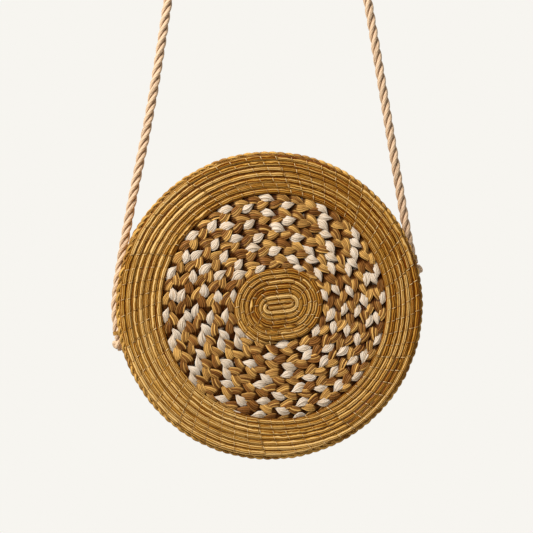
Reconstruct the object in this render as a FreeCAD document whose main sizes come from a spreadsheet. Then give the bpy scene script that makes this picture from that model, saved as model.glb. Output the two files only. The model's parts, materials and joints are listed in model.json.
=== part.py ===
import FreeCAD, Part
import math
import os

import Sketcher
from FreeCAD import Placement, Rotation, Vector

# A round straw shoulder bag that hangs by its rope strap.
# Millimetres, +Z up, the front face looks along -Y, +X to the right seen from the front.
# The origin is the hanging point: the underside of the strap at the top of its arch.

# Driving dimensions, kept in the sheet
SIZES = {
    # Outside of the bag
    "face_radius": 100.0,
    "bag_depth": 70.0,
    "seat_gap": 0.1,
    # Straw coils of the two faces
    "coil_straw": 3.45,
    "coil_gap": 0.45,
    "coil_top_share": 0.5,
    "rim_half_turns": 13,
    "rim_corners": 44,
    "centre_half_turns": 12,
    "centre_corners": 20,
    "centre_run": 10.0,
    "centre_offset": 4.0,
    "centre_tilt": 7.0,
    # Plaited ring between the coils
    "braid_thickness": 3.3,
    "braid_rows": 5,
    "braid_groove": 1.0,
    "braid_groove_depth": 1.2,
    # Edge plaits and side wall
    "edge_plait": 4.2,
    "edge_plait_sides": 6,
    "edge_plait_corners": 44,
    "edge_plait_gap": 0.25,
    "edge_plait_proud": 2.5,
    "gusset_inset": 1.0,
    "gusset_wall": 2.6,
    "lining_panel": 1.5,
    "lining_margin": 1.0,
    "lining_cloth": 0.7,
    "lining_gap": 0.2,
    # Zip in the top of the side wall
    "mouth_half_angle": 47.0,
    "mouth_half_width": 15.0,
    "tab_angle": 2.6,
    "tape_end_gap": 0.3,
    "tape_thickness": 0.7,
    "tape_under_strip": 1.8,
    "slide_gap": 0.4,
    "tooth_pitch": 2.5,
    "tooth_length": 1.0,
    "tooth_reach": 2.35,
    "tooth_mesh": 0.6,
    "tooth_height": 1.6,
    "stop_length": 2.2,
    "stop_gap": 0.25,
    # Slider and pull
    "slider_rest_angle": 40.0,
    "slider_length": 11.0,
    "slider_width": 8.0,
    "slider_nose_width": 5.6,
    "slider_plate": 1.5,
    "ear_length": 4.4,
    "ear_thickness": 1.2,
    "ear_height": 2.9,
    "ear_gap": 0.2,
    "pin_radius": 0.8,
    "pin_height": 1.65,
    "eye_radius": 1.5,
    "eye_width": 3.6,
    "eye_clearance": 0.1,
    "pull_length": 17.0,
    "pull_width": 6.4,
    "pull_neck_width": 3.0,
    "pull_thickness": 1.2,
    "pull_slot_width": 2.4,
    "pull_slot_length": 7.0,
    "pull_tilt": 5.0,
    # Rope strap
    "rope": 6.3,
    "rope_sides": 10,
    "fold_gap": 0.3,
    "loop_straw": 1.8,
    "loop_sides": 6,
    "loop_corners": 16,
    "loop_clearance": 0.15,
    "loop_setback": 4.0,
    "knot_radius": 3.5,
    "knot_length": 8.0,
    # Every cut runs this far past what it cuts
    "overrun": 2.0,
}

# Route of the rope's centre line, seen from the front. Along the side wall: (degrees above the level
# of the bag's centre, distance out from the wall). Over the support: (x, z) from the bag's centre.
LEFT_END_ROUTE = [(36.0, 15.05), (4.2, 3.95), (-7.13, 3.95), (-12.8, 3.8)]
RIGHT_END_ROUTE = [(36.0, 15.05), (19.0, 5.0), (14.0, 4.6)]
ARCH_ROUTE = [(-61.3, 245.6), (-36.2, 273.6), (0.0, 284.0), (36.2, 273.6), (61.3, 245.6)]
CORNER_SHARE = 0.45

# Rounded rope ends and knots: (height, radius) as shares of the rope's radius or the knot's own sizes
CAP_SHARES = [(0.0, 1.0), (0.7, 0.7), (0.94, 0.33)]
KNOT_SHARES = [(0.0, 0.7), (0.3, 1.0), (0.65, 1.0), (1.0, 0.5)]

doc = FreeCAD.newDocument("circle_bag")
sheet = doc.addObject("Spreadsheet::Sheet", "sizes")
for row, (alias, value) in enumerate(SIZES.items(), start=1):
    sheet.set(f"A{row}", alias)
    sheet.set(f"B{row}", str(value))
    sheet.setAlias(f"B{row}", alias)
doc.recompute()

nodes = []


def size(alias):
    """One value of the sheet."""
    return float(sheet.get(alias))


def bind(item, **expressions):
    """Ties properties of an object to the sheet."""
    for name, expression in expressions.items():
        item.setExpression(name, expression)


def keep(item, label):
    """Names an object as one of the bag's pieces."""
    item.Label = label
    nodes.append(item)
    return item


def feature(label, shape):
    """A piece whose shape is set directly."""
    item = doc.addObject("Part::Feature", label)
    item.Shape = shape
    return keep(item, label)


# Paths of rope and coil

def polyline_with_arcs(points):
    """Straight runs joined by tangent arcs as large as the runs allow, with the arcs' radii."""
    edges = []
    radii = []
    start = points[0]
    for before, corner, after in zip(points, points[1:], points[2:]):
        back = (before - corner).normalize()
        ahead = (after - corner).normalize()
        half_turn = (math.pi - back.getAngle(ahead)) / 2
        reach = CORNER_SHARE * min(before.distanceToPoint(corner), after.distanceToPoint(corner))
        radius = reach / math.tan(half_turn)
        inward = (back + ahead).normalize()
        middle = corner + inward * (radius / math.cos(half_turn) - radius)
        first = corner + back * reach
        last = corner + ahead * reach
        edges.append(Part.LineSegment(start, first).toShape())
        edges.append(Part.Arc(first, middle, last).toShape())
        radii.append(radius)
        start = last
    edges.append(Part.LineSegment(start, points[-1]).toShape())
    return Part.Wire(edges), radii


def polygon(sides, across):
    """Corners of a regular polygon inside a circle of the given diameter."""
    step = 2 * math.pi / sides
    return [
        (across / 2 * math.cos(number * step), across / 2 * math.sin(number * step))
        for number in range(sides)
    ]


def outline_face(corners, centre, sideways, up):
    """A flat face from corners given as (sideways, up) pairs about a centre."""
    points = [centre + sideways * a + up * b for a, b in corners]
    return Part.Face(Part.makePolygon(points + points[:1]))


def tube(label, path, corners, up):
    """A solid along a flat path whose plane has the normal up; prints its volume and length."""
    first = path.OrderedEdges[0]
    start = first.valueAt(first.FirstParameter)
    heading = first.tangentAt(first.FirstParameter)
    section = outline_face(corners, start, up.cross(heading).normalize(), up)
    shape = path.makePipeShell([section.OuterWire], True, False)
    expected = section.Area * path.Length
    print(f"{label}: length {path.Length:.1f}, volume {shape.Volume:.1f}, expected {expected:.1f}")
    return shape


def skinned(rings, closed=False):
    """A solid of flat faces through rings of corners, with flat ends unless it is closed."""
    outlines = [] if closed else [rings[0], rings[-1]]
    for ring, after in zip(rings, rings[1:] + rings[:1] if closed else rings[1:]):
        for corner in range(len(ring)):
            outlines.append([ring[corner - 1], ring[corner], after[corner], after[corner - 1]])
    shell = Part.makeShell([Part.Face(Part.makePolygon(outline + outline[:1])) for outline in outlines])
    shell.sewShape()
    solid = Part.makeSolid(shell)
    return solid if solid.Volume > 0 else solid.reversed()


def mitred(points, corners, up, closed=False):
    """A solid along a flat run of points, mitred where the run turns."""
    ahead = points[1:] + points[:1] if closed else points[1:]
    runs = [(b - a).normalize() for a, b in zip(points, ahead)]
    rings = []
    for index, point in enumerate(points):
        into = up.cross(runs[index - 1 if closed else max(index - 1, 0)])
        out = up.cross(runs[min(index, len(runs) - 1)])
        sideways = (into + out) / (1 + into.dot(out))
        rings.append([point + sideways * a + up * b for a, b in corners])
    return skinned(rings, closed)


def tapered(shares, sides, start, heading, length, radius):
    """A straight many-sided solid from (height, radius) shares."""
    sideways = Vector(0, 1, 0).cross(heading).normalize()
    rings = []
    for height_share, radius_share in shares:
        centre = start + heading * (height_share * length)
        corners = polygon(sides, 2 * radius * radius_share)
        rings.append([centre + sideways * a + Vector(0, 1, 0) * b for a, b in corners])
    return skinned(rings)


def on_circle(centre, radius, angle):
    """A point of a level circle, at an angle in degrees."""
    turned = math.radians(angle)
    return centre + Vector(radius * math.cos(turned), radius * math.sin(turned), 0)


def report_winding(label, points, corners_per_turn, width):
    """Prints a winding's length and the least gap between its turns, measured on its points."""
    length = sum(a.distanceToPoint(b) for a, b in zip(points, points[1:]))
    least = min(
        a.distanceToPoint(b)
        for index, a in enumerate(points)
        for b in points[index + corners_per_turn // 2:]
    )
    print(f"{label}: length {length:.1f}, least gap to itself {least - width:.2f}")


# Places that several pieces share

FULL_TURN = 360.0
HALF_TURN = FULL_TURN / 2
rope_radius = size("rope") / 2
half_depth = size("bag_depth") / 2
coil_pitch = size("coil_straw") + size("coil_gap")
rim_last_radius = size("face_radius") - size("coil_straw") / 2
rim_first_radius = rim_last_radius - size("rim_half_turns") * coil_pitch / 2
braid_radius = rim_first_radius - size("coil_straw") / 2 - size("coil_gap")
centre_last_radius = size("centre_half_turns") * coil_pitch / 2
centre_hole_radius = centre_last_radius + size("coil_straw") / 2 + size("coil_gap")
gusset_radius = size("face_radius") - size("gusset_inset")
tape_radius = gusset_radius - size("gusset_wall") - size("slide_gap")


def beside_wall(route, hand):
    """Points of a rope end beside the side wall, on the left or the right."""
    points = []
    for angle, out in route:
        level = on_circle(Vector(0, 0, 0), gusset_radius + out, angle)
        points.append(Vector(-level.x if hand == "left" else level.x, 0, level.y))
    return points


left_end = beside_wall(LEFT_END_ROUTE, "left")
right_end = beside_wall(RIGHT_END_ROUTE, "right")
strap_points = [left_end[0]] + [Vector(x, 0, z) for x, z in ARCH_ROUTE] + [right_end[0]]
strap_path, strap_radii = polyline_with_arcs(strap_points)
hanging_height = strap_path.BoundBox.ZMax - rope_radius
bag_centre = Vector(0, 0, -hanging_height)

# Expressions for depths, measured from the bag's middle plane
HALF_DEPTH = "sizes.bag_depth / 2"
LINING_FACE = f"({HALF_DEPTH} - sizes.coil_straw - sizes.seat_gap)"
LINING_BACK = f"({LINING_FACE} - sizes.lining_panel)"
PLAIT_PLACE = f"({HALF_DEPTH} - sizes.coil_straw - sizes.edge_plait_gap - sizes.edge_plait / 2)"
GUSSET_HALF = f"({PLAIT_PLACE} - sizes.edge_plait / 2 - sizes.seat_gap)"
GUSSET_OUTER = "(sizes.face_radius - sizes.gusset_inset)"
GUSSET_INNER = f"({GUSSET_OUTER} - sizes.gusset_wall)"
TAPE_OUTER = f"({GUSSET_INNER} - sizes.slide_gap)"
TAPE_INNER = f"({TAPE_OUTER} - sizes.tape_thickness)"


def about_bag(turn=0.0):
    """The bag's centre, turned about its depth axis: positive runs clockwise seen from the front."""
    return Placement(bag_centre, Rotation(Vector(0, 1, 0), turn))


# Faces: two wound straw coils with a plaited ring between them

def face_placement(side):
    """Stands a flat-modelled face on the front or back of the bag; its +Z becomes outward."""
    stand = Rotation(Vector(1, 0, 0), 90)
    if side > 0:
        stand = Rotation(Vector(0, 0, 1), 180).multiply(stand)
    return Placement(bag_centre, stand)


def centre_placement(side):
    """As face_placement, with the oval's offset and tilt."""
    shift = Placement(Vector(size("centre_offset"), 0, 0), Rotation(Vector(0, 0, 1), size("centre_tilt")))
    return face_placement(side).multiply(shift)


def coil_section():
    """Corners of a straw bundle's section: flat at the back, narrower at the front."""
    half = size("coil_straw") / 2
    top = half * size("coil_top_share")
    return [(-half, -half), (half, -half), (top, half), (-top, half)]


def rim_coil(label, side):
    """Straw bundle wound round the rim, one unbroken spiral."""
    middle = Vector(0, 0, half_depth - size("coil_straw") / 2)
    per_turn = int(size("rim_corners"))
    points = [
        on_circle(middle, rim_first_radius + coil_pitch * number / per_turn, FULL_TURN * number / per_turn)
        for number in range(int(size("rim_half_turns") * per_turn / 2) + 1)
    ]
    report_winding(label, points, per_turn, size("coil_straw"))
    shape = mitred(points, coil_section(), Vector(0, 0, 1))
    feature(label, shape).Placement = face_placement(side)


def centre_coil(label, side):
    """Straw bundle wound from a short straight start into an oval, one unbroken spiral."""
    middle = Vector(0, 0, half_depth - size("coil_straw") / 2)
    per_half = int(size("centre_corners") / 2)
    half_run = Vector(size("centre_run") / 2, 0, 0)
    points = [middle - half_run]
    for turn in range(int(size("centre_half_turns"))):
        way = 1 if turn % 2 == 0 else -1
        radius = (turn + 1) * coil_pitch / 2
        bend = points[-1] + half_run * (2 * way) + Vector(0, way * radius, 0)
        first = -way * FULL_TURN / 4
        points += [
            on_circle(bend, radius, first + FULL_TURN / 2 * number / per_half)
            for number in range(per_half + 1)
        ]
    report_winding(label, points, 2 * per_half, size("coil_straw"))
    shape = mitred(points, coil_section(), Vector(0, 0, 1))
    feature(label, shape).Placement = centre_placement(side)


def oval(half_run, radius, centre_x, corners):
    """Corners of an oval: two half circles joined by straight runs, tilted as the centre is."""
    tilt = size("centre_tilt")
    along = on_circle(Vector(0, 0, 0), half_run, tilt)
    points = []
    for way in (1, -1):
        middle = Vector(centre_x, 0, 0) + along * way
        first = tilt - way * FULL_TURN / 4
        points += [
            on_circle(middle, radius, first + FULL_TURN * number / corners)
            for number in range(corners // 2 + (1 if half_run > 0 else 0))
        ]
    return points


def add_oval(sketch, half_run, radius, centre_x):
    """Draws an oval into a sketch."""
    points = oval(half_run, radius, centre_x, int(size("rim_corners")))
    sides = [Part.LineSegment(start, end) for start, end in zip(points, points[1:] + points[:1])]
    sketch.addGeometry(sides, False)


def origin_plane(body, role):
    """One of a body's own origin planes."""
    return next(item for item in body.Origin.OriginFeatures if item.Role == role)


def new_sketch(body, role, name):
    """A sketch on one of the body's own origin planes."""
    sketch = body.newObject("Sketcher::SketchObject", name)
    sketch.AttachmentSupport = [(origin_plane(body, role), "")]
    sketch.MapMode = "FlatFace"
    return sketch


def braid_ring(label, side):
    """Plaited straw between the coils: a ring with an oval hole and a groove between its rows."""
    rows = int(size("braid_rows"))
    body = doc.addObject("PartDesign::Body", label)
    plan = new_sketch(body, "XY_Plane", f"{label}_plan")
    bind(plan, **{"AttachmentOffset.Base.z": f"{HALF_DEPTH} - sizes.coil_straw"})
    add_oval(plan, 0, braid_radius, 0)
    add_oval(plan, size("centre_run") / 2, centre_hole_radius, size("centre_offset"))
    ring = body.newObject("PartDesign::Pad", f"{label}_pad")
    ring.Profile = plan
    bind(ring, Length="sizes.braid_thickness")
    grooves = new_sketch(body, "XY_Plane", f"{label}_grooves")
    bind(grooves, **{"AttachmentOffset.Base.z": f"{HALF_DEPTH} - sizes.coil_straw + sizes.braid_thickness"})
    for row in range(1, rows):
        share = row / rows
        radius = centre_hole_radius + (braid_radius - centre_hole_radius) * share
        for edge in (-size("braid_groove") / 2, size("braid_groove") / 2):
            half_run = size("centre_run") / 2 * (1 - share)
            add_oval(grooves, half_run, radius + edge, size("centre_offset") * (1 - share))
    cut = body.newObject("PartDesign::Pocket", f"{label}_pocket")
    cut.Profile = grooves
    bind(cut, Length="sizes.braid_groove_depth")
    body.Placement = face_placement(side)
    keep(body, label)


def lining_panel(label, side):
    """Cloth-covered board behind the straw face."""
    disc = doc.addObject("Part::Cylinder", label)
    bind(disc, Radius=f"{GUSSET_OUTER} - sizes.lining_margin", Height="sizes.lining_panel")
    lift = float(size("bag_depth") / 2 - size("coil_straw") - size("seat_gap") - size("lining_panel"))
    disc.Placement = face_placement(side).multiply(Placement(Vector(0, 0, lift), Rotation()))
    keep(disc, label)


def edge_plait(label, side):
    """Small straw plait round the rim, between the face and the side wall."""
    across = size("edge_plait")
    radius = size("face_radius") + size("edge_plait_proud") - across / 2
    level = half_depth - size("coil_straw") - size("edge_plait_gap") - across / 2
    count = int(size("edge_plait_corners"))
    points = [on_circle(Vector(0, 0, level), radius, FULL_TURN * number / count) for number in range(count)]
    shape = mitred(points, polygon(int(size("edge_plait_sides")), across), Vector(0, 0, 1), closed=True)
    feature(label, shape).Placement = face_placement(side)


for face, side in (("front", -1), ("back", 1)):
    centre_coil(f"{face}_centre_coil", side)
    braid_ring(f"{face}_braid_ring", side)
    rim_coil(f"{face}_rim_coil", side)
    edge_plait(f"{face}_edge_plait", side)
    lining_panel(f"{face}_lining", side)


# Side wall, lining band and zip tapes: bands that run round the bag's middle

def band(label, inner, outer, low, high, angle, turn):
    """A band round the bag: a rectangle of radius and depth, turned about the depth axis.

    The band is as wide in angle as stated and centred on the bag's top, turned by turn degrees.
    """
    body = doc.addObject("PartDesign::Body", label)
    section = new_sketch(body, "YZ_Plane", f"{label}_section")
    corners = [Vector(0, 1, 0), Vector(1, 1, 0), Vector(1, 2, 0), Vector(0, 2, 0)]
    for start, end in zip(corners, corners[1:] + corners[:1]):
        section.addGeometry(Part.LineSegment(start, end))
    for edge in range(4):
        section.addConstraint(Sketcher.Constraint("Coincident", edge, 2, (edge + 1) % 4, 1))
    for edge, kind in enumerate(("Horizontal", "Vertical", "Horizontal", "Vertical")):
        section.addConstraint(Sketcher.Constraint(kind, edge))
    places = (("low", "DistanceX", 0, 1), ("high", "DistanceX", 1, 1))
    places += (("inner", "DistanceY", 0, 1), ("outer", "DistanceY", 2, 1))
    expressions = {"low": low, "high": high, "inner": inner, "outer": outer}
    for name, kind, edge, point in places:
        at = section.addConstraint(Sketcher.Constraint(kind, -1, 1, edge, point, 1.0))
        section.renameConstraint(at, name)
        section.setExpression(f"Constraints.{name}", expressions[name])
    wall = body.newObject("PartDesign::Revolution", f"{label}_turned")
    wall.Profile = section
    wall.ReferenceAxis = (section, ["H_Axis"])
    wall.Midplane = True
    bind(wall, Angle=angle)
    body.Placement = about_bag(turn)
    return keep(body, label)


MOUTH = "2 * sizes.mouth_half_angle"
TAPE_ANGLE = "2 * (sizes.mouth_half_angle - sizes.tab_angle - sizes.tape_end_gap)"
tab_turn = size("mouth_half_angle") - size("tab_angle") / 2

band("gusset_band", GUSSET_INNER, GUSSET_OUTER, f"-{GUSSET_HALF}", GUSSET_HALF,
     f"360 - {MOUTH}", HALF_TURN)
band("gusset_lining", f"{GUSSET_INNER} - sizes.lining_gap - sizes.lining_cloth",
     f"{GUSSET_INNER} - sizes.lining_gap", f"-{LINING_BACK}", LINING_BACK, f"360 - {MOUTH}", HALF_TURN)
band("zip_strip_front", GUSSET_INNER, GUSSET_OUTER, f"-{GUSSET_HALF}",
     "-sizes.mouth_half_width", MOUTH, 0)
band("zip_strip_back", GUSSET_INNER, GUSSET_OUTER, "sizes.mouth_half_width", GUSSET_HALF, MOUTH, 0)
for hand, turn in (("left", -tab_turn), ("right", tab_turn)):
    band(f"zip_end_tab_{hand}", GUSSET_INNER, GUSSET_OUTER, "-sizes.mouth_half_width",
         "sizes.mouth_half_width", "sizes.tab_angle", turn)
band("zip_tape_front", TAPE_INNER, TAPE_OUTER, "-sizes.mouth_half_width - sizes.tape_under_strip",
     "-sizes.tooth_reach", TAPE_ANGLE, 0)
band("zip_tape_back", TAPE_INNER, TAPE_OUTER, "sizes.tooth_reach",
     "sizes.mouth_half_width + sizes.tape_under_strip", TAPE_ANGLE, 0)


# Zip teeth and stops, on the inner edges of the tapes

tape_half_angle = size("mouth_half_angle") - size("tab_angle") - size("tape_end_gap")
tape_inner_radius = tape_radius - size("tape_thickness")
pitch_angle = math.degrees(size("tooth_pitch") / tape_radius)
stop_angle = math.degrees(size("stop_length") / tape_radius)


def zip_block(length, low, high, turn):
    """A small metal block across the tape's edge, at an angle from the bag's top."""
    corner = Vector(-length / 2, low, tape_inner_radius)
    block = Part.makeBox(length, high - low, size("tooth_height"), corner)
    block.Placement = about_bag(turn)
    return block


def zip_teeth(label, side):
    """A row of teeth, half a pitch apart from the other row so that the two mesh."""
    room = 2 * (tape_half_angle - stop_angle) - pitch_angle
    count = int(room / pitch_angle)
    first = -tape_half_angle + pitch_angle / 2
    if side > 0:
        first += pitch_angle / 2
    low, high = sorted((side * -size("tooth_mesh"), side * size("tooth_reach")))
    teeth = [
        zip_block(size("tooth_length"), low, high, first + number * pitch_angle)
        for number in range(count)
    ]
    feature(label, Part.makeCompound(teeth))


def zip_stop(label, side):
    """The stop at the closed end of a row."""
    low, high = sorted((side * size("stop_gap"), side * size("tooth_reach")))
    feature(label, zip_block(size("stop_length"), low, high, tape_half_angle - stop_angle / 2))


for face, side in (("front", -1), ("back", 1)):
    zip_teeth(f"zip_teeth_{face}", side)
    zip_stop(f"zip_stop_{face}", side)


# Slider and pull, modelled at the bag's top and turned to the closed end of the zip

slider_seat = tape_inner_radius + size("tooth_height") + size("slide_gap")
pin_radius_out = slider_seat + size("slider_plate") + size("pin_height")
slider_turn = about_bag(size("slider_rest_angle"))


def slider():
    """Slider plate with two ears and the pin that carries the pull."""
    half = size("slider_length") / 2
    wide = size("slider_width") / 2
    nose = size("slider_nose_width") / 2
    outline = [(-half, -wide), (0, -wide), (half, -nose), (half, nose), (0, wide), (-half, wide)]
    corners = [Vector(x, y, slider_seat) for x, y in outline]
    plate = Part.Face(Part.makePolygon(corners + corners[:1]))
    shape = plate.extrude(Vector(0, 0, size("slider_plate")))
    top = slider_seat + size("slider_plate")
    ear_from = size("eye_width") / 2 + size("ear_gap")
    for low in (ear_from, -ear_from - size("ear_thickness")):
        corner = Vector(-size("ear_length") / 2, low, top)
        shape = shape.fuse(
            Part.makeBox(size("ear_length"), size("ear_thickness"), size("ear_height"), corner)
        )
    pin_end = ear_from + size("ear_thickness") / 2
    pin = Part.makeCylinder(
        size("pin_radius"), 2 * pin_end, Vector(0, -pin_end, pin_radius_out), Vector(0, 1, 0)
    )
    feature("zip_slider", shape.fuse(pin).removeSplitter()).Placement = slider_turn


def pull():
    """Pull tab with an eye on the slider's pin and a long slot."""
    half_eye = size("eye_width") / 2
    along = Vector(0, 1, 0)
    eye = Part.makeCylinder(
        size("eye_radius"), size("eye_width"), Vector(0, -half_eye, pin_radius_out), along
    )
    neck = size("pull_neck_width") / 2
    wide = size("pull_width") / 2
    length = size("pull_length")
    low = pin_radius_out - size("pull_thickness") / 2
    outline = [(0, -neck), (length - wide, -wide), (length - wide, wide), (0, neck)]
    corners = [Vector(x, y, low) for x, y in outline]
    blade = Part.Face(Part.makePolygon(corners + corners[:1]))
    shape = eye.fuse(blade.extrude(Vector(0, 0, size("pull_thickness"))))
    tip = Part.makeCylinder(wide, size("pull_thickness"), Vector(length - wide, 0, low))
    shape = shape.fuse(tip)
    slot_end = length - wide
    half_slot = size("pull_slot_width") / 2
    under = low - size("overrun")
    deep = size("pull_thickness") + 2 * size("overrun")
    corner = Vector(slot_end - size("pull_slot_length"), -half_slot, under)
    slot = Part.makeBox(size("pull_slot_length"), size("pull_slot_width"), deep, corner)
    for end in (slot_end, slot_end - size("pull_slot_length")):
        slot = slot.fuse(Part.makeCylinder(half_slot, deep, Vector(end, 0, under)))
    bore = Part.makeCylinder(
        size("pin_radius") + size("eye_clearance"),
        size("eye_width") + 2 * size("overrun"),
        Vector(0, -half_eye - size("overrun"), pin_radius_out),
        along,
    )
    shape = shape.cut(slot).cut(bore).removeSplitter()
    shape.rotate(Vector(0, 0, pin_radius_out), along, size("pull_tilt"))
    feature("zip_pull", shape).Placement = slider_turn


slider()
pull()


# Rope strap: the free arch, and the two ends that lie on the side wall

rope_sides = int(size("rope_sides"))
rope_outline = polygon(rope_sides, size("rope"))
depth_axis = Vector(0, 1, 0)


def strap_rope():
    """The free rope from fold to fold, rounded at the folds."""
    shape = tube("strap_rope", strap_path, rope_outline, depth_axis)
    print("strap_rope arcs:", [round(radius, 1) for radius in strap_radii])
    first, second, *_, before, last = strap_points
    for point, neighbour in ((first, second), (last, before)):
        outward = (point - neighbour).normalize()
        shape = shape.fuse(tapered(CAP_SHARES, rope_sides, point, outward, rope_radius, rope_radius))
    feature("strap_rope", shape.removeSplitter()).Placement = about_bag()


def strap_end(hand, route):
    """A rope end on the side wall, with the straw loop that holds it and its knot."""
    heading = (route[1] - route[0]).normalize()
    points = [route[0] + heading * (rope_radius + size("fold_gap"))] + route[1:]
    path, radii = polyline_with_arcs(points)
    shape = tube(f"{hand}_strap_end", path, rope_outline, depth_axis)
    print(f"{hand}_strap_end arcs:", [round(radius, 1) for radius in radii])
    feature(f"{hand}_strap_end", shape).Placement = about_bag()
    strap_loop(hand, points[-1], points[-2])
    end_knot(hand, points[-1], points[-2])


def strap_loop(hand, end, before):
    """A straw loop round the rope, sewn to the side wall."""
    heading = (end - before).normalize()
    middle = end - heading * size("loop_setback")
    radius = (size("rope") + size("loop_straw")) / 2 + size("loop_clearance")
    count = int(size("loop_corners"))
    points = [on_circle(Vector(0, 0, 0), radius, FULL_TURN * number / count) for number in range(count)]
    corners = polygon(int(size("loop_sides")), size("loop_straw"))
    ring = mitred(points, corners, Vector(0, 0, 1), closed=True)
    ring.Placement = about_bag().multiply(Placement(middle, Rotation(Vector(0, 0, 1), heading)))
    wall = Part.makeCylinder(
        gusset_radius + size("seat_gap"), size("bag_depth"), Vector(0, 0, -half_depth)
    )
    wall.Placement = face_placement(-1)
    feature(f"{hand}_strap_loop", ring.cut(wall))


def end_knot(hand, end, before):
    """The knot that stops the rope's end, widest in its middle."""
    heading = (end - before).normalize()
    shape = tapered(KNOT_SHARES, rope_sides, end, heading, size("knot_length"), size("knot_radius"))
    feature(f"{hand}_end_knot", shape).Placement = about_bag()


strap_rope()
strap_end("left", left_end)
strap_end("right", right_end)


# Checks and files

doc.recompute()
for item in doc.Objects:
    if {"Invalid", "Error"} & set(item.State):
        raise RuntimeError(f"{item.Label} failed: {item.State}")
for item in nodes:
    if item.Shape.isNull() or not item.Shape.isValid():
        raise RuntimeError(f"{item.Label} has no valid shape")

os.makedirs("parts", exist_ok=True)
for item in nodes:
    item.Shape.exportStep(f"parts/{item.Label}.step")
fold_drop = hanging_height - left_end[0].z
print(f"{len(nodes)} pieces; below the hanging point, bag centre {hanging_height:.2f}, folds {fold_drop:.2f}")
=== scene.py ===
"""A round straw shoulder bag that hangs by a twisted rope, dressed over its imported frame."""

import json
import logging
import math
from dataclasses import dataclass, field
from enum import Enum
from typing import Mapping, Sequence

import bmesh
import bpy
import numpy as np
from mathutils import Matrix, Vector


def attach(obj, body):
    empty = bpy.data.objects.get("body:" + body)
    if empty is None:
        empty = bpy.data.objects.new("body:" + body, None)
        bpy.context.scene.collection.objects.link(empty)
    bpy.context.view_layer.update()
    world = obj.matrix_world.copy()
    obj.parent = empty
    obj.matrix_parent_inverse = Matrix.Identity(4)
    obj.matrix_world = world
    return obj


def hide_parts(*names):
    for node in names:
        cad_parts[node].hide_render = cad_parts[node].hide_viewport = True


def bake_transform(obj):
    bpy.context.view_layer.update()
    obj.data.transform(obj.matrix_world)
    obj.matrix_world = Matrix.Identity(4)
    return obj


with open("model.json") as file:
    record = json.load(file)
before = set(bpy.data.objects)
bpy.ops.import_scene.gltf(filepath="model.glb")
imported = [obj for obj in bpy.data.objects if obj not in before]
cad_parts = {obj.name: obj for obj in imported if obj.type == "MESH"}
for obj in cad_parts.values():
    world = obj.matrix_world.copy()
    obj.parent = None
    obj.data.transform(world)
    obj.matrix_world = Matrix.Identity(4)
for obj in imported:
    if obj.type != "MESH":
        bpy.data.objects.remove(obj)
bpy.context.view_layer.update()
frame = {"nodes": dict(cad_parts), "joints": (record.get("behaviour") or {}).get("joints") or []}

LOG = logging.getLogger("circle_bag")
MM = 0.001
TURN = 2 * math.pi
UP = (0.0, 0.0, 1.0)
WELD = 1e-6
# Factors that keep a petal's, a strand's and a straw's number apart in one whole number.
MOST_STRANDS, MOST_STRAWS = 8.0, 16.0

Colour = tuple[float, float, float, float]
Pair = tuple[float, float]
Places = tuple[Pair, ...]
Line = tuple[np.ndarray, dict[str, np.ndarray]]


def joint_place(name: str) -> Vector:
    """The place of a joint in the frame."""
    return Vector(next(joint["pos_m"] for joint in frame["joints"] if joint["name"] == name))


BAG_CENTRE = joint_place("zip_slide")
# Painted shade: the coil straw's colour darkens across the faces, towards this side, where less
# light falls.
SHADE_ANGLE = math.radians(35)
SHADED_SIDE = (math.cos(SHADE_ANGLE), 0.0, math.sin(SHADE_ANGLE))


def shade(*levels: int) -> Colour:
    """A colour as it looks on screen, in the linear light that Blender mixes.

    Args:
        levels: Red, green and blue, 0 to 255.

    Returns:
        The colour, with full alpha.
    """
    tones = [level / 255 for level in levels]
    return *(t / 12.92 if t <= 0.04045 else ((t + 0.055) / 1.055) ** 2.4 for t in tones), 1.0


# Lines


def smooth_step(value: np.ndarray, low: float, high: float) -> np.ndarray:
    """A soft rise from 0 to 1 between two levels.

    Args:
        value: The values to grade.
        low: The level where the rise starts.
        high: The level where it ends.

    Returns:
        The graded values.
    """
    share = np.clip((value - low) / (high - low), 0, 1)
    return share * share * (3 - 2 * share)


def circle(angle: np.ndarray) -> np.ndarray:
    """Points of a circle of radius 1, one row for each angle."""
    return np.column_stack((np.cos(angle), np.sin(angle)))


def at_level(flat: np.ndarray, level: float) -> np.ndarray:
    """Flat points, lifted to a level."""
    return np.column_stack((flat, np.full(len(flat), level)))


def run_lengths(line: np.ndarray) -> np.ndarray:
    """The length of a line of points, up to each of them."""
    return np.concatenate(([0], np.cumsum(np.linalg.norm(np.diff(line, axis=0), axis=1))))


def winding(
    rows: int, change: float, start: float, samples: int
) -> tuple[np.ndarray, np.ndarray, np.ndarray]:
    """Winds rings that each step out to the next row in a short stretch.

    Args:
        rows: The number of rings.
        change: The share of a turn that a step takes.
        start: The angle where a ring is complete.
        samples: The points in a turn.

    Returns:
        The turns run, the row and the angle at each point.
    """
    turns = np.linspace(-change, rows, round((rows + change) * samples))
    whole = np.floor(turns)
    row = whole + smooth_step(turns - whole, 1 - change, 1)
    return turns, row, turns * TURN + start


# Meshes


def points_of(mesh: bpy.types.Mesh) -> np.ndarray:
    """Reads the places of a mesh's vertices.

    Args:
        mesh: The mesh.

    Returns:
        The places, one row each.
    """
    points = np.empty(len(mesh.vertices) * 3)
    mesh.vertices.foreach_get("co", points)
    return points.reshape(-1, 3)


def set_points(mesh: bpy.types.Mesh, points: np.ndarray) -> None:
    """Moves a mesh's vertices."""
    mesh.vertices.foreach_set("co", points.ravel())
    mesh.update()


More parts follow.
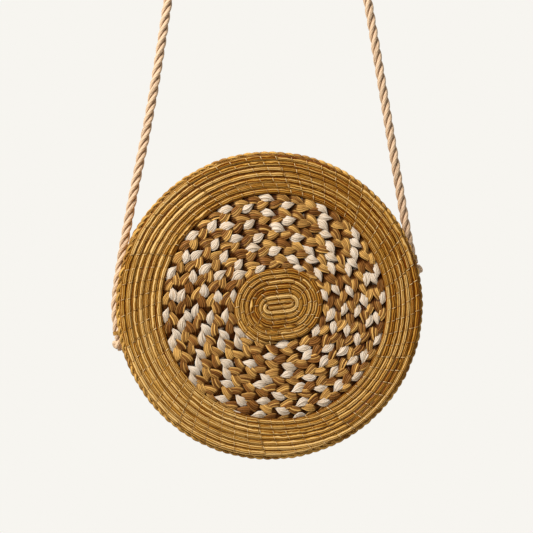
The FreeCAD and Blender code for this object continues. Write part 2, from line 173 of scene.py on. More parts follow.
def face_outwards(mesh: bpy.types.Mesh) -> None:
    """Turns the faces of closed shells outwards, by the sign of the room that they enclose.

    Args:
        mesh: The mesh, whose faces all look the same way.
    """
    mesh.calc_loop_triangles()
    corners = np.empty(len(mesh.loop_triangles) * 3, dtype=np.int32)
    mesh.loop_triangles.foreach_get("vertices", corners)
    first, second, third = points_of(mesh)[corners.reshape(-1, 3)].transpose(1, 0, 2)
    if np.einsum("ij,ij->", first, np.cross(second, third)) < 0:
        mesh.flip_normals()


def wrap(piece: bpy.types.Object, radius: float, stand: Matrix) -> None:
    """Bends a piece that is drawn flat, X along it and Z out of it, round the Y axis.

    Args:
        piece: The piece.
        radius: The radius that its level zero gets.
        stand: Takes the bent piece to its place.
    """
    flat = points_of(piece.data)
    angle = flat[:, 0] / radius
    out = radius + flat[:, 2]
    bent = np.column_stack((out * np.sin(angle), flat[:, 1], out * np.cos(angle)))
    set_points(piece.data, bent)
    piece.data.transform(stand)


def new_piece(name: str, mesh: bpy.types.Mesh, finish: bpy.types.Material) -> bpy.types.Object:
    """Makes an object at the origin.

    Args:
        name: The name of the object.
        mesh: Its mesh, in place.
        finish: Its one material.

    Returns:
        The object.
    """
    piece = bpy.data.objects.new(name, mesh)
    bpy.context.scene.collection.objects.link(piece)
    mesh.materials.clear()
    mesh.materials.append(finish)
    return piece


def join(name: str, pieces: Sequence[bpy.types.Object]) -> bpy.types.Object:
    """Makes several pieces one.

    Args:
        name: The name of the joined piece.
        pieces: The pieces, with their places in their meshes.

    Returns:
        The joined piece.
    """
    bpy.ops.object.select_all(action="DESELECT")
    for piece in pieces:
        piece.select_set(True)
    bpy.context.view_layer.objects.active = pieces[0]
    bpy.ops.object.join()
    pieces[0].name = pieces[0].data.name = name
    return pieces[0]


def box_section(near: float, far: float, inner: float, outer: float) -> Places:
    """The corners of a plain section, between two depths and two distances from the axis."""
    return (near, inner), (far, inner), (far, outer), (near, outer)


def swept_ring(
    name: str,
    section: Places,
    finish: bpy.types.Material,
    start: float = 0.0,
    end: float = TURN,
    step: float = math.radians(1.5),
) -> bpy.types.Object:
    """Sweeps a closed section round the bag's axis, through a full turn or an arc with flat ends.

    Args:
        name: The name of the piece.
        section: Corners of the section, as depth along Y and distance from the axis.
        finish: The material.
        start: The angle from the bag's top where the sweep starts.
        end: The angle where it ends.
        step: The angle between two sections.

    Returns:
        The piece, in place, with its length and girth stored for the weave.
    """
    closed = end - start > TURN - step / 2
    count = max(2, round((end - start) / step))
    angles = np.linspace(start, end, count + 1)[: count if closed else None]
    depth, radius = np.array(section).T
    rings = np.stack(
        [np.column_stack((radius * math.sin(a), depth, radius * math.cos(a))) for a in angles]
    )
    size = len(section)
    faces = []
    for ring in range(count):
        here, after = ring * size, (ring + 1) % len(angles) * size
        for corner in range(size):
            beside = (corner + 1) % size
            faces.append([here + corner, after + corner, after + beside, here + beside])
    if not closed:
        faces += [list(range(size))[::-1], [count * size + corner for corner in range(size)]]
    mesh = bpy.data.meshes.new(name)
    mesh.from_pydata((rings.reshape(-1, 3) + np.array(BAG_CENTRE)).tolist(), [], faces)
    along = np.repeat(angles * radius.max(), size)
    girth = np.tile(run_lengths(np.array(section)), len(angles))
    for label, values in (("along", along), ("around", girth)):
        layer = mesh.attributes.new(label, "FLOAT", "POINT")
        layer.data.foreach_set("value", values.astype(np.float32))
    shape = bmesh.new()
    shape.from_mesh(mesh)
    bmesh.ops.remove_doubles(shape, verts=shape.verts, dist=WELD)
    bmesh.ops.recalc_face_normals(shape, faces=shape.faces)
    shape.to_mesh(mesh)
    shape.free()
    return new_piece(name, mesh, finish)


def softened_copy(
    node: str, name: str, bevel: float, finish: bpy.types.Material
) -> bpy.types.Object:
    """Copies a CAD node and rounds its sharp edges.

    Args:
        node: The CAD node.
        name: The name of the copy.
        bevel: The width of the rounding.
        finish: The material.

    Returns:
        The copy, in the node's place.
    """
    flat, sharp = math.radians(1), math.radians(25)
    shape = bmesh.new()
    shape.from_mesh(frame["nodes"][node].data)
    bmesh.ops.remove_doubles(shape, verts=shape.verts, dist=WELD)
    bmesh.ops.dissolve_limit(shape, angle_limit=flat, verts=shape.verts, edges=shape.edges)
    edges = [e for e in shape.edges if e.is_manifold and e.calc_face_angle() > sharp]
    bmesh.ops.bevel(
        shape, geom=edges, offset=bevel, segments=2, profile=0.5, affect="EDGES", clamp_overlap=True
    )
    bmesh.ops.triangulate(shape, faces=[f for f in shape.faces if len(f.verts) > 4])
    mesh = bpy.data.meshes.new(name)
    shape.to_mesh(mesh)
    shape.free()
    return new_piece(name, mesh, finish)


# Node trees


class Value:
    """A node's output that arithmetic can be written with: each sign adds a Math node."""

    def __init__(self, sketch: "NodeSketch", socket: bpy.types.NodeSocket) -> None:
        """Keeps the output with the sketch that it belongs to."""
        self.sketch, self.socket = sketch, socket

    def __add__(self, other: "Fed") -> "Value":
        """The sum."""
        return self.sketch.math("ADD", self, other)

    def __sub__(self, other: "Fed") -> "Value":
        """The difference."""
        return self.sketch.math("SUBTRACT", self, other)

    def __rsub__(self, other: "Fed") -> "Value":
        """A number less this value."""
        return self.sketch.math("SUBTRACT", other, self)

    def __mul__(self, other: "Fed") -> "Value":
        """The product."""
        return self.sketch.math("MULTIPLY", self, other)

    def __truediv__(self, other: "Fed") -> "Value":
        """The quotient."""
        return self.sketch.math("DIVIDE", self, other)

    __radd__ = __add__
    __rmul__ = __mul__


Fed = Value | float | int | bool | str | tuple


class NodeSketch:
    """A node tree in the making, with short ways to add and feed its nodes."""

    def __init__(self, tree: bpy.types.NodeTree) -> None:
        """Takes over a tree."""
        self.tree = tree

    def feed(self, socket: bpy.types.NodeSocket, value: Fed) -> None:
        """Links an input to an output, or sets its own value.

        Args:
            socket: The input.
            value: What it gets.
        """
        if isinstance(value, Value):
            self.tree.links.new(value.socket, socket)
        else:
            socket.default_value = value

    def add(
        self, kind: str, inputs: Mapping[str, Fed] | None = None, **settings: object
    ) -> bpy.types.Node:
        """Adds a node.

        Args:
            kind: Blender's name for the node's type.
            inputs: What each input gets, by the socket's identifier.
            settings: The node's own settings.

        Returns:
            The node.
        """
        node = self.tree.nodes.new(kind)
        for label, setting in settings.items():
            setattr(node, label, setting)
        for key, value in (inputs or {}).items():
            self.feed(next(s for s in node.inputs if s.identifier == key), value)
        return node

    def out(
        self,
        kind: str,
        inputs: Mapping[str, Fed] | None = None,
        output: str = "",
        **settings: object,
    ) -> Value:
        """Adds a node and takes one of its outputs.

        Args:
            kind: Blender's name for the node's type.
            inputs: What each input gets, by the socket's identifier.
            output: The output's name, or nothing for the first one in use.
            settings: The node's own settings.

        Returns:
            The output.
        """
        node = self.add(kind, inputs, **settings)
        return Value(self, next(s for s in node.outputs if s.enabled and output in ("", s.name)))

    def applied(self, kind: str, operation: str, values: Sequence[Fed]) -> Value:
        """Adds a node that works on values in order.

        Args:
            kind: Blender's name for the node's type.
            operation: What the node does.
            values: What its inputs get, first to last.

        Returns:
            The result.
        """
        node = self.add(kind, operation=operation)
        for socket, value in zip([s for s in node.inputs if s.enabled], values):
            self.feed(socket, value)
        return Value(self, next(s for s in node.outputs if s.enabled))

    def math(self, operation: str, *values: Fed) -> Value:
        """Works on numbers with a Math node."""
        return self.applied("ShaderNodeMath", operation, values)

    def vector(self, operation: str, *values: Fed) -> Value:
        """Works on vectors with a Vector Math node."""
        return self.applied("ShaderNodeVectorMath", operation, values)

    def joined(self, *values: Fed) -> Value:
        """A vector from three numbers."""
        return self.out("ShaderNodeCombineXYZ", dict(zip("XYZ", values)))

    def noise(self, vector: Fed, scale: float = 1.0, detail: float = 3.0) -> Value:
        """Noise over a vector."""
        return self.out("ShaderNodeTexNoise", {"Vector": vector, "Scale": scale, "Detail": detail})

    def blend(self, share: Fed, first: Fed, second: Fed, mode: str = "MIX") -> Value:
        """Mixes two colours.

        Args:
            share: The share of the second colour.
            first: The first colour.
            second: The second colour.
            mode: The way to mix them.

        Returns:
            The mixed colour.
        """
        inputs = {"Factor_Float": share, "A_Color": first, "B_Color": second}
        return self.out("ShaderNodeMix", inputs, data_type="RGBA", blend_type=mode)

    def grade(self, value: Fed, bounds: Pair, ends: Pair = (0.0, 1.0)) -> Value:
        """Takes a number from one range softly to another, held at both ends.

        Args:
            value: The number.
            bounds: The range that it comes from, which may run downwards.
            ends: The range that it goes to.

        Returns:
            The graded number.
        """
        keys = ("From Min", "From Max", "To Min", "To Max")
        inputs = {"Value": value, **dict(zip(keys, (*bounds, *ends)))}
        return self.out("ShaderNodeMapRange", inputs, interpolation_type="SMOOTHSTEP")


class Group(NodeSketch):
    """A node group in the making, whose inputs are read by name."""

    def __init__(
        self, name: str, kind: str, inputs: Mapping[str, str], outputs: Mapping[str, str]
    ) -> None:
        """Makes the group and its sockets.

        Args:
            name: The name of the group.
            kind: Blender's name for the tree's type.
            inputs: The kind of each input, by its name.
            outputs: The kind of each output, by its name.
        """
        super().__init__(bpy.data.node_groups.new(name, kind))
        for way, sockets in (("INPUT", inputs), ("OUTPUT", outputs)):
            for label, sort in sockets.items():
                self.tree.interface.new_socket(label, in_out=way, socket_type=f"NodeSocket{sort}")
        self.inlet = self.tree.nodes.new("NodeGroupInput")
        self.outlet = self.tree.nodes.new("NodeGroupOutput")

    def __getitem__(self, label: str) -> Value:
        """One of the group's inputs."""
        return Value(self, self.inlet.outputs[label])

    def give(self, label: str, value: Value) -> None:
        """Feeds one of the group's outputs."""
        self.feed(self.outlet.inputs[label], value)


@dataclass
class Guide:
    """Lines or loose points that a piece grows along, with values stored at the points."""

    runs: Sequence[np.ndarray]
    values: Mapping[str, np.ndarray] = field(default_factory=dict)
    joined: bool = True

    def mesh(self, name: str) -> bpy.types.Mesh:
        """Draws the guide.

        Args:
            name: The name of the mesh.

        Returns:
            A mesh of edges, or of loose vertices.
        """
        edges: list[tuple[int, int]] = []
        start = 0
        for run in self.runs:
            if self.joined:
                edges += [(i, i + 1) for i in range(start, start + len(run) - 1)]
            start += len(run)
        mesh = bpy.data.meshes.new(name)
        mesh.from_pydata(np.concatenate(self.runs).tolist(), edges, [])
        for label, value in self.values.items():
            kind, part = ("FLOAT_VECTOR", "vector") if value.ndim == 2 else ("FLOAT", "value")
            layer = mesh.attributes.new(label, kind, "POINT")
            layer.data.foreach_set(part, value.astype(np.float32).ravel())
        return mesh


class GrowthTree(Group):
    """A Geometry Nodes tree that grows a piece along a guide, with a named input for each size."""

    def __init__(self, name: str, sizes: Mapping[str, float]) -> None:
        """Makes the tree's inputs and output.

        Args:
            name: The name of the tree.
            sizes: The tree's sizes and counts, each with a first value.
        """
        kinds = {label: "Int" if isinstance(s, int) else "Float" for label, s in sizes.items()}
        inputs = {"Guide": "Geometry", **kinds, "Finish": "Material"}
        super().__init__(name, "GeometryNodeTree", inputs, {"Piece": "Geometry"})
        for item in self.tree.interface.items_tree:
            if item.name in sizes:
                item.default_value = sizes[item.name]

    def stored(self, label: str, kind: str = "FLOAT") -> Value:
        """A value that is stored at the points."""
        return self.out("GeometryNodeInputNamedAttribute", {"Name": label}, data_type=kind)

    def store(self, geometry: Value, kind: str = "FLOAT", **values: Fed) -> Value:
        """Stores values at the points.

        Args:
            geometry: What has the points.
            kind: The kind of the values.
            values: The values by their labels.

        Returns:
            The geometry with the values.
        """
        for label, value in values.items():
            geometry = self.out(
                "GeometryNodeStoreNamedAttribute",
                {"Geometry": geometry, "Name": label, "Value": value},
                data_type=kind,
                domain="POINT",
            )
        return geometry

    def guide_line(self) -> Value:
        """Makes the guide a curve.

        Returns:
            The curve, with a point at each step and its length stored.
        """
        line = self.out("GeometryNodeMeshToCurve", {"Mesh": self["Guide"]})
        steps = {"Curve": line, "Length": self["Step"]}
        line = self.out("GeometryNodeResampleCurve", steps, mode="LENGTH")
        return self.store(line, along=self.out("GeometryNodeSplineParameter", output="Length"))

    def copies(self, line: Value, count: Value) -> tuple[Value, Value]:
        """Copies a line.

        Args:
            line: The line.
            count: How many of it there will be.

        Returns:
            The copies, and the number of each.
        """
        inputs = {"Geometry": line, "Amount": count}
        node = self.add("GeometryNodeDuplicateElements", inputs, domain="SPLINE")
        return tuple(Value(self, node.outputs[label]) for label in ("Geometry", "Duplicate Index"))

    def tangent(self) -> Value:
        """The way that a line runs."""
        return self.out("GeometryNodeInputTangent")

    def beside(self) -> Value:
        """The way to the left of a flat line."""
        return self.vector("NORMALIZE", self.vector("CROSS_PRODUCT", UP, self.tangent()))

    def summed(self, *parts: tuple[Fed, Value]) -> Value:
        """Adds up parts of a vector, each a direction and an amount.

        Args:
            parts: The directions and amounts.

        Returns:
            The vector.
        """
        first, *others = (self.vector("SCALE", way, amount) for way, amount in parts)
        for other in others:
            first = self.vector("ADD", first, other)
        return first

    def shifted(self, line: Value, offset: Value) -> Value:
        """A line with its points moved."""
        return self.out("GeometryNodeSetPosition", {"Geometry": line, "Offset": offset})

    def chance(self, number: Value) -> Value:
        """A random value from 0 to 1 for each whole number."""
        inputs = {"ID": number, "Seed": self["Seed"]}
        return self.out("FunctionNodeRandomValue", inputs, data_type="FLOAT")

    def swept(self, line: Value, width: Fed, height: Fed, scale: Fed = 1.0) -> Value:
        """Sweeps a ridged oval section along a line, and stores the way round it and up it.

        Args:
            line: The curve.
            width: The section's width across the line.
            height: The section's height.
            scale: The share of that size at each point.

        Returns:
            The mesh, closed at both ends.
        """
        valley = self["Groove"] * -0.5 + 0.5
        star = {"Points": self["Ridges"], "Inner Radius": valley, "Outer Radius": 0.5}
        ring = self.out("GeometryNodeCurveStar", {**star, "Twist": 0.0})
        # A section's Y points down on a flat line, so it starts at its lowest point, unseen.
        turned = {"Geometry": ring, "Rotation": (0.0, 0.0, math.pi / 2)}
        ring = self.out("GeometryNodeTransform", turned)
        ring = self.store(ring, around=self.out("GeometryNodeSplineParameter", output="Factor"))
        place = {"Vector": self.out("GeometryNodeInputPosition")}
        # rise runs from -1 at the section's bottom to 1 at its top; the finishes paint shade where
        # it is low.
        ring = self.store(ring, rise=self.out("ShaderNodeSeparateXYZ", place, output="Y") * -2.0)
        sized = {"Geometry": ring, "Scale": self.joined(width, height, 1.0)}
        ring = self.out("GeometryNodeTransform", sized)
        sweep = {"Curve": line, "Profile Curve": ring, "Scale": scale, "Fill Caps": True}
        return self.out("GeometryNodeCurveToMesh", sweep)

    def swept_flat(self, straws: Value, offset: Value, width: Fed) -> Value:
        """Moves straws off their line and sweeps them, flat side up, by their stored fullness.

        Args:
            straws: The straws' lines.
            offset: How far each point moves.
            width: The width of a straw.

        Returns:
            The mesh.
        """
        straws = self.shifted(straws, offset)
        straws = self.out("GeometryNodeSetCurveNormal", {"Curve": straws}, mode="Z_UP")
        return self.swept(straws, width, self["Thickness"], self.stored("fullness"))

    def end(self, geometry: Value) -> "GrowthTree":
        """Closes the tree with a real, smooth mesh in its finish.

        Args:
            geometry: What has grown.

        Returns:
            The tree.
        """
        smooth = self.out("GeometryNodeSetShadeSmooth", {"Geometry": geometry})
        real = self.out("GeometryNodeRealizeInstances", {"Geometry": smooth})
        dressed = {"Geometry": real, "Material": self["Finish"]}
        self.give("Piece", self.out("GeometryNodeSetMaterial", dressed))
        return self

    def grow(
        self, name: str, guide: Guide, finish: bpy.types.Material, sizes: Mapping[str, float]
    ) -> bpy.types.Object:
        """Grows a piece along a guide and makes it a plain mesh.

        Args:
            name: The name of the piece.
            guide: The lines or points to follow.
            finish: The material.
            sizes: The sizes that differ from the tree's first values.

        Returns:
            The piece, where the guide was drawn.
        """
        piece = bpy.data.objects.new(name, guide.mesh(name))
        bpy.context.scene.collection.objects.link(piece)
        growth = piece.modifiers.new("growth", "NODES")
        growth.node_group = self.tree
        for item in self.tree.interface.items_tree:
            if item.in_out == "INPUT" and item.name == "Finish":
                growth[item.identifier] = finish
            elif item.in_out == "INPUT" and item.name in sizes:
                growth[item.identifier] = type(item.default_value)(sizes[item.name])
        depsgraph = bpy.context.evaluated_depsgraph_get()
        grown = bpy.data.meshes.new_from_object(
            piece.evaluated_get(depsgraph), preserve_all_data_layers=True, depsgraph=depsgraph
        )
        guide_mesh = piece.data
        piece.modifiers.remove(growth)
        piece.data = grown
        bpy.data.meshes.remove(guide_mesh)
        grown.name = name
        face_outwards(grown)
        return piece


def plait_tree() -> GrowthTree:
    """Plaits strands of straws along a guide: each swings from edge to edge, over and under.

    Returns:
        The tree.
    """
    tree = GrowthTree(
        "straw_plait",
        {
            "Strands": 3,
            "Straws": 1,
            "Overlap": 1.0,
            "Crown": 0.0,
            "Step": 1.3 * MM,
            "Period": 27.6 * MM,
            "Swing": 2.6 * MM,
            "Lift": 0.9 * MM,
            "Width": 6.2 * MM,
            "Thickness": 1.7 * MM,
            "Pinch": 0.55,
            "Plain Pinch": 0.35,
            "Swell": 0.15,
            "Least Girth": 0.84,
            "Girth Range": 0.3,
            "Uneven": 0.4 * MM,
            "Cream": 0.0,
            "Cream Girth": 0.2,
            "Cream Draw": 0.22,
            "Cream Rise": 0.35 * MM,
            "Ridges": 6,
            "Groove": 0.2,
            "Seed": 1,
        },
    )
    line = tree.guide_line()
    line = tree.store(line, periods=tree.stored("along") / tree["Period"])
    straws, number = tree.copies(line, tree["Strands"] * tree["Straws"])
    strand = tree.math("FLOOR", (number + 0.5) / tree["Straws"])
    straw = number - strand * tree["Straws"]
    lead = strand / tree["Strands"]
    turn = (tree.stored("periods") + lead) * TURN
    over = tree.math("SINE", turn * 2.0)
    spread = tree.stored("spread")
    swing = tree["Swing"] * spread
    # A petal is the stretch of a strand between two dips; even ones lean out and odd ones in.
    petal = tree.math("FLOOR", turn / math.pi + 0.25)
    identity = petal * MOST_STRANDS + strand
    paired = tree.math("GREATER_THAN", tree.stored("paired"), 0.5)
    paired = tree.math("FLOORED_MODULO", petal, 2.0) * paired
    first, second = (tree.math("COMPARE", strand, place, 0.1) for place in (0.0, 1.0))
    cream = (first * (1.0 - paired) + second * paired) * tree["Cream"]
    lot = tree.chance(identity)
    tone = tree.chance(identity * MOST_STRAWS + straw)
    # A petal swells past its crown and runs back to a narrow tip.
    dip = tree.math("SINE", turn * 2.0 - tree["Swell"] * TURN) * -0.5 + 0.5
    plain = tree["Plain Pinch"]
    full = 1.0 - dip * (tree["Pinch"] * (cream * (1.0 - plain) + plain))
    full = full * (lot * tree["Girth Range"] + tree["Least Girth"])
    full = full * (cream * tree["Cream Girth"] + 1.0) * spread
    # The straws of a strand lie side by side, square to the strand's own run.
    place = (straw * 2.0 + 1.0) / tree["Straws"] - 1.0
    aside = tree["Width"] * 0.5 * place * (1.0 - cream * tree["Cream Draw"]) * full
    slope = swing * TURN / tree["Period"] * tree.math("COSINE", turn)
    back = tree.summed((tree.tangent(), slope))
    square = tree.vector("NORMALIZE", tree.vector("SUBTRACT", tree.beside(), back))
    rise = tree["Lift"] * over + (tone - 0.5) * tree["Uneven"]
    rise = rise + (1.0 - place * place) * full * tree["Crown"] + cream * tree["Cream Rise"]
    sway = swing * tree.math("SINE", turn)
    offset = tree.summed((tree.beside(), sway), (square, aside), (UP, rise))
    straws = tree.store(
        straws, tone=tone, lot=lot, strand=lead, cream=cream, over=over, fullness=full
    )
    width = tree["Width"] / tree["Straws"] * tree["Overlap"]
    return tree.end(tree.swept_flat(straws, offset, width))


def coil_tree() -> GrowthTree:
    """Lays a broad straw between thin ones along a guide, nipped at each stitch.

    Returns:
        The tree.
    """
    tree = GrowthTree(
        "straw_coil",
        {
            "Straws": 3,
            "Step": 1.5 * MM,
            "Spacing": 1.45 * MM,
            "Crown": 0.4 * MM,
            "Wander": 0.7 * MM,
            "Wander Pace": 80.0,
            "Wander Lane": 17.3,
            "Wander Rise": 0.6,
            "Nip": 0.25,
            "Nip Sharpness": 14.0,
            "Bite": 0.45 * MM,
            "Dust": 0.5,
            "Age": 0.0,
            "Width": 1.65 * MM,
            "Thickness": 0.85 * MM,
            "Broad": 0.85,
            "Least Girth": 0.9,
            "Girth Range": 0.2,
            "Straw Stitches": 6,
            "Stitch Share": 0.35,
            "Ridges": 5,
            "Groove": 0.04,
            "Seed": 1,
        },
    )
    straws, number = tree.copies(tree.guide_line(), tree["Straws"])
    stitch = tree.stored("stitch")
    place = number - (tree["Straws"] - 1.0) * 0.5
    beat = tree.math("COSINE", stitch * TURN) * 0.5 + 0.5
    nip = tree.math("POWER", beat, tree["Nip Sharpness"])
    full = tree.stored("taper") * (1.0 - nip * tree["Nip"])
    run = tree.stored("along") * tree["Wander Pace"]
    spot = tree.joined(run, number * tree["Wander Lane"], 0.0)
    drift = (tree.noise(spot, detail=1.0) - 0.5) * tree["Wander"]
    inner = 1.0 - tree.math("ABSOLUTE", place)
    rise = inner * tree["Crown"] + drift * tree["Wander Rise"] - nip * tree["Bite"]
    sideways = place * tree["Spacing"] * full + drift
    offset = tree.summed((tree.beside(), sideways), (UP, rise))
    # A straw gives way to the next one under a stitch, each of a bundle at another stitch.
    lot = tree.math("FLOOR", (number * 2.0 + stitch) / tree["Straw Stitches"])
    origin = tree.chance(lot * MOST_STRANDS + number)
    segment = tree.chance(tree.math("FLOOR", stitch) * MOST_STRANDS + number)
    tone = origin * (1.0 - tree["Stitch Share"]) + segment * tree["Stitch Share"]
    inner = tree.math("MAXIMUM", inner, 0.0)
    girth = full * (tone * tree["Girth Range"] + tree["Least Girth"])
    girth = girth * (inner * tree["Broad"] + 1.0)
    # Painted shade: the flank straws, low in the gaps between bundles, and the nips by the stitches
    # are stored darker; Darkening darkens a whole coil.
    low = tree.math("MAXIMUM", 1.0 - inner, nip * tree["Dust"]) + tree["Age"]
    straws = tree.store(straws, tone=tone, origin=origin, low=low, fullness=girth)
    return tree.end(tree.swept_flat(straws, offset, tree["Width"]))


def stitch_tree() -> GrowthTree:
    """Sets a stitch of thread, arched over what it holds, on each point of a guide.

    Returns:
        The tree.
    """
    tree = GrowthTree(
        "thread_stitches",
        {
            "Length": 3.0 * MM,
            "Rise": 0.5 * MM,
            "Thread": 0.45 * MM,
            "Ridges": 3,
            "Groove": 0.0,
            "Seed": 1,
        },
    )
    arch = tree.out(
        "GeometryNodeCurveQuadraticBezier",
        {
            "Resolution": 6,
            "Start": tree.joined(tree["Length"] * -0.5, 0.0, 0.0),
            "Middle": tree.joined(0.0, 0.0, tree["Rise"] * 2.0),
            "End": tree.joined(tree["Length"] * 0.5, 0.0, 0.0),
        },
    )
    facing = tree.out(
        "FunctionNodeAxesToRotation",
        {"Primary Axis": UP, "Secondary Axis": tree.stored("heading", "FLOAT_VECTOR")},
        primary_axis="Z",
        secondary_axis="X",
    )
    points = tree.store(tree["Guide"], tone=tree.chance(tree.out("GeometryNodeInputIndex")))
    thread = tree.swept(arch, tree["Thread"], tree["Thread"])
    placed = {"Points": points, "Instance": thread, "Rotation": facing}
    return tree.end(tree.out("GeometryNodeInstanceOnPoints", placed))


def rope_tree() -> GrowthTree:
    """Lays strands round a guide in the XZ plane, as a right-handed twist.

    Returns:
        The tree.
    """
    tree = GrowthTree(
        "twisted_rope",
        {
            "Strands": 3,
            "Step": 0.8 * MM,
            "Lay": 25.2 * MM,
            "Helix": 1.6 * MM,
            "Strand": 3.2 * MM,
            "Ridges": 8,
            "Groove": 0.03,
        },
    )
    strands, number = tree.copies(tree.guide_line(), tree["Strands"])
    lead = number / tree["Strands"]
    angle = (tree.stored("along") / tree["Lay"] + lead) * TURN
    depth = (0.0, 1.0, 0.0)
    inward = tree.vector("CROSS_PRODUCT", tree.tangent(), depth)
    cosine, sine = (tree["Helix"] * tree.math(wave, angle) for wave in ("COSINE", "SINE"))
    strands = tree.store(strands, tone=lead)
    place = tree.out("GeometryNodeInputPosition")
    strands = tree.store(strands, "FLOAT_VECTOR", heart=place)
    strands = tree.shifted(strands, tree.summed((depth, cosine), (inward, sine)))
    rope = tree.swept(strands, tree["Strand"], tree["Strand"])
    away = tree.vector("DISTANCE", place, tree.stored("heart", "FLOAT_VECTOR"))
    # rise: how far a point lies out from the rope's heart, low in the grooves where the finish
    # paints shade.
    return tree.end(tree.store(rope, rise=(away - tree["Helix"]) / (tree["Strand"] * 0.5)))


def tooth_tree() -> GrowthTree:
    """Stands a rounded zip tooth on each point of a guide.

    Returns:
        The tree.
    """
    tree = GrowthTree(
        "zip_teeth",
        {
            "Length": 1.0 * MM,
            "Reach": 2.95 * MM,
            "Height": 1.6 * MM,
            "Corner": 0.3,
            "Shoulder": 0.6,
            "Tip": 0.8,
        },
    )
    outline = {"Width": tree["Length"], "Height": tree["Reach"]}
    outline = tree.out("GeometryNodeCurvePrimitiveQuadrilateral", outline, mode="RECTANGLE")
    corners = {"Curve": outline, "Radius": tree["Length"] * tree["Corner"], "Count": 2}
    outline = tree.out("GeometryNodeFilletCurve", corners, mode="POLY")
    top = {"End": tree.joined(0.0, 0.0, tree["Height"])}
    post = tree.out("GeometryNodeCurvePrimitiveLine", top)
    post = tree.out("GeometryNodeResampleCurve", {"Curve": post, "Count": 4}, mode="COUNT")
    height = tree.out("GeometryNodeSplineParameter", output="Factor")
    taper = tree.grade(height, (tree["Shoulder"], 1.0), (1.0, tree["Tip"]))
    sweep = {"Curve": post, "Profile Curve": outline, "Scale": taper, "Fill Caps": True}
    placed = {"Points": tree["Guide"], "Instance": tree.out("GeometryNodeCurveToMesh", sweep)}
    return tree.end(tree.out("GeometryNodeInstanceOnPoints", placed))


class Growth(Enum):
    """The Geometry Nodes trees that the bag's pieces share."""

    PLAIT = plait_tree()
    COIL = coil_tree()
    STITCHES = stitch_tree()
    ROPE = rope_tree()
    TEETH = tooth_tree()


# Finishes


def effect(name: str, inputs: Sequence[str], outputs: Sequence[str]) -> Group:
    """An empty shader group, with a number at each input and output."""
    return Group(name, "ShaderNodeTree", *(dict.fromkeys(s, "Float") for s in (inputs, outputs)))


def fibre_effect() -> bpy.types.NodeTree:
    """Draws streaks and slow stains that run along a straw or a yarn, and a chance value for each.

    Returns:
        The shader group.
    """
    stains, streaks, streak_width, unevenness, lane = 160.0, 90.0, 2.5, 0.6, 61.0
    group = effect(
        "fibre", ["Along", "Around", "Piece", "Ridges"], ["Streak", "Stain", "Ridge", "Straw"]
    )
    shift = group["Piece"] * lane
    stain = group.noise(group.joined(group["Along"] * stains, shift, 0.0), detail=2.0)
    across = group["Around"] * group["Ridges"]
    uneven = group.noise(group.joined(across * unevenness, shift, 0.0), detail=0.0)
    across = uneven * 2.0 + (across + stain)
    number = group.joined(group.math("ROUND", across), shift, 0.0)
    fine = group.joined(group["Along"] * streaks, across * streak_width, shift)
    group.give("Stain", stain)
    group.give("Ridge", group.math("COSINE", across * TURN) * 0.5 + 0.5)
    chance = group.out("ShaderNodeTexWhiteNoise", {"Vector": number}, noise_dimensions="2D")
    group.give("Straw", chance)
    group.give("Streak", group.noise(fine))
    return group.tree


def weave_effect() -> bpy.types.NodeTree:
    """Draws a plain weave from the lengths along and across a cloth.

    Returns:
        The shader group.
    """
    slub = 0.05
    group = effect("weave", ["Along", "Across", "Thread"], ["Height", "Slub"])
    warp, weft = (group[way] * math.pi / group["Thread"] for way in ("Along", "Across"))
    cells = group.math("SINE", warp) * group.math("SINE", weft)
    group.give("Height", group.math("ABSOLUTE", cells))
    group.give("Slub", group.noise(group.joined(warp, weft * slub, 0.0), detail=2.0))
    return group.tree


FIBRE = fibre_effect()
WEAVE = weave_effect()


class Surface(NodeSketch):
    """A material in the making, around one Principled shader."""

    def __init__(
        self, name: str, roughness: float, metallic: float = 0.0, gloss: float = 0.5
    ) -> None:
        """Makes the material with its plain values.

        Args:
            name: The name of the material.
            roughness: The roughness where no node gives one.
            metallic: The share of metal.
            gloss: The strength of the reflection at the surface.
        """
        self.material = bpy.data.materials.new(name)
        self.material.use_nodes = True
        super().__init__(self.material.node_tree)
        self.inputs = self.tree.nodes["Principled BSDF"].inputs
        self.inputs["Roughness"].default_value = roughness
        self.inputs["Metallic"].default_value = metallic
        self.inputs["Specular IOR Level"].default_value = gloss

    def stored(self, label: str) -> Value:
        """A value that the mesh stores at its points."""
        return self.out("ShaderNodeAttribute", output="Fac", attribute_name=label)

    def place(self) -> Value:
        """The place in the object's own frame."""
        return self.out("ShaderNodeTexCoord", output="Object")

    def effect(self, group: bpy.types.NodeTree, **inputs: Fed) -> dict[str, Value]:
        """Places a shared effect.

        Args:
            group: The shader group.
            inputs: What its inputs get.

        Returns:
            Its outputs by name.
        """
        node = self.add("ShaderNodeGroup", node_tree=group)
        for label, value in inputs.items():
            self.feed(node.inputs[label], value)
        return {socket.name: Value(self, socket) for socket in node.outputs}

    def dressed(self, colour: Value, height: Value, depth: float) -> bpy.types.Material:
        """Gives the surface its colour and its relief.

        Args:
            colour: The base colour.
            height: The relief, from 0 to 1.
            depth: How deep the relief is.

        Returns:
            The material.
        """
        self.feed(self.inputs["Base Color"], colour)
        bump = {"Height": height, "Distance": depth, "Strength": 1.0}
        self.feed(self.inputs["Normal"], self.out("ShaderNodeBump", bump))
        return self.material


@dataclass(frozen=True)
class TwoTone:
    """A finish between a dark and a light colour."""

    name: str
    dark: Colour
    light: Colour

    def material(self) -> bpy.types.Material:
        """The finish as a material."""
        raise NotImplementedError


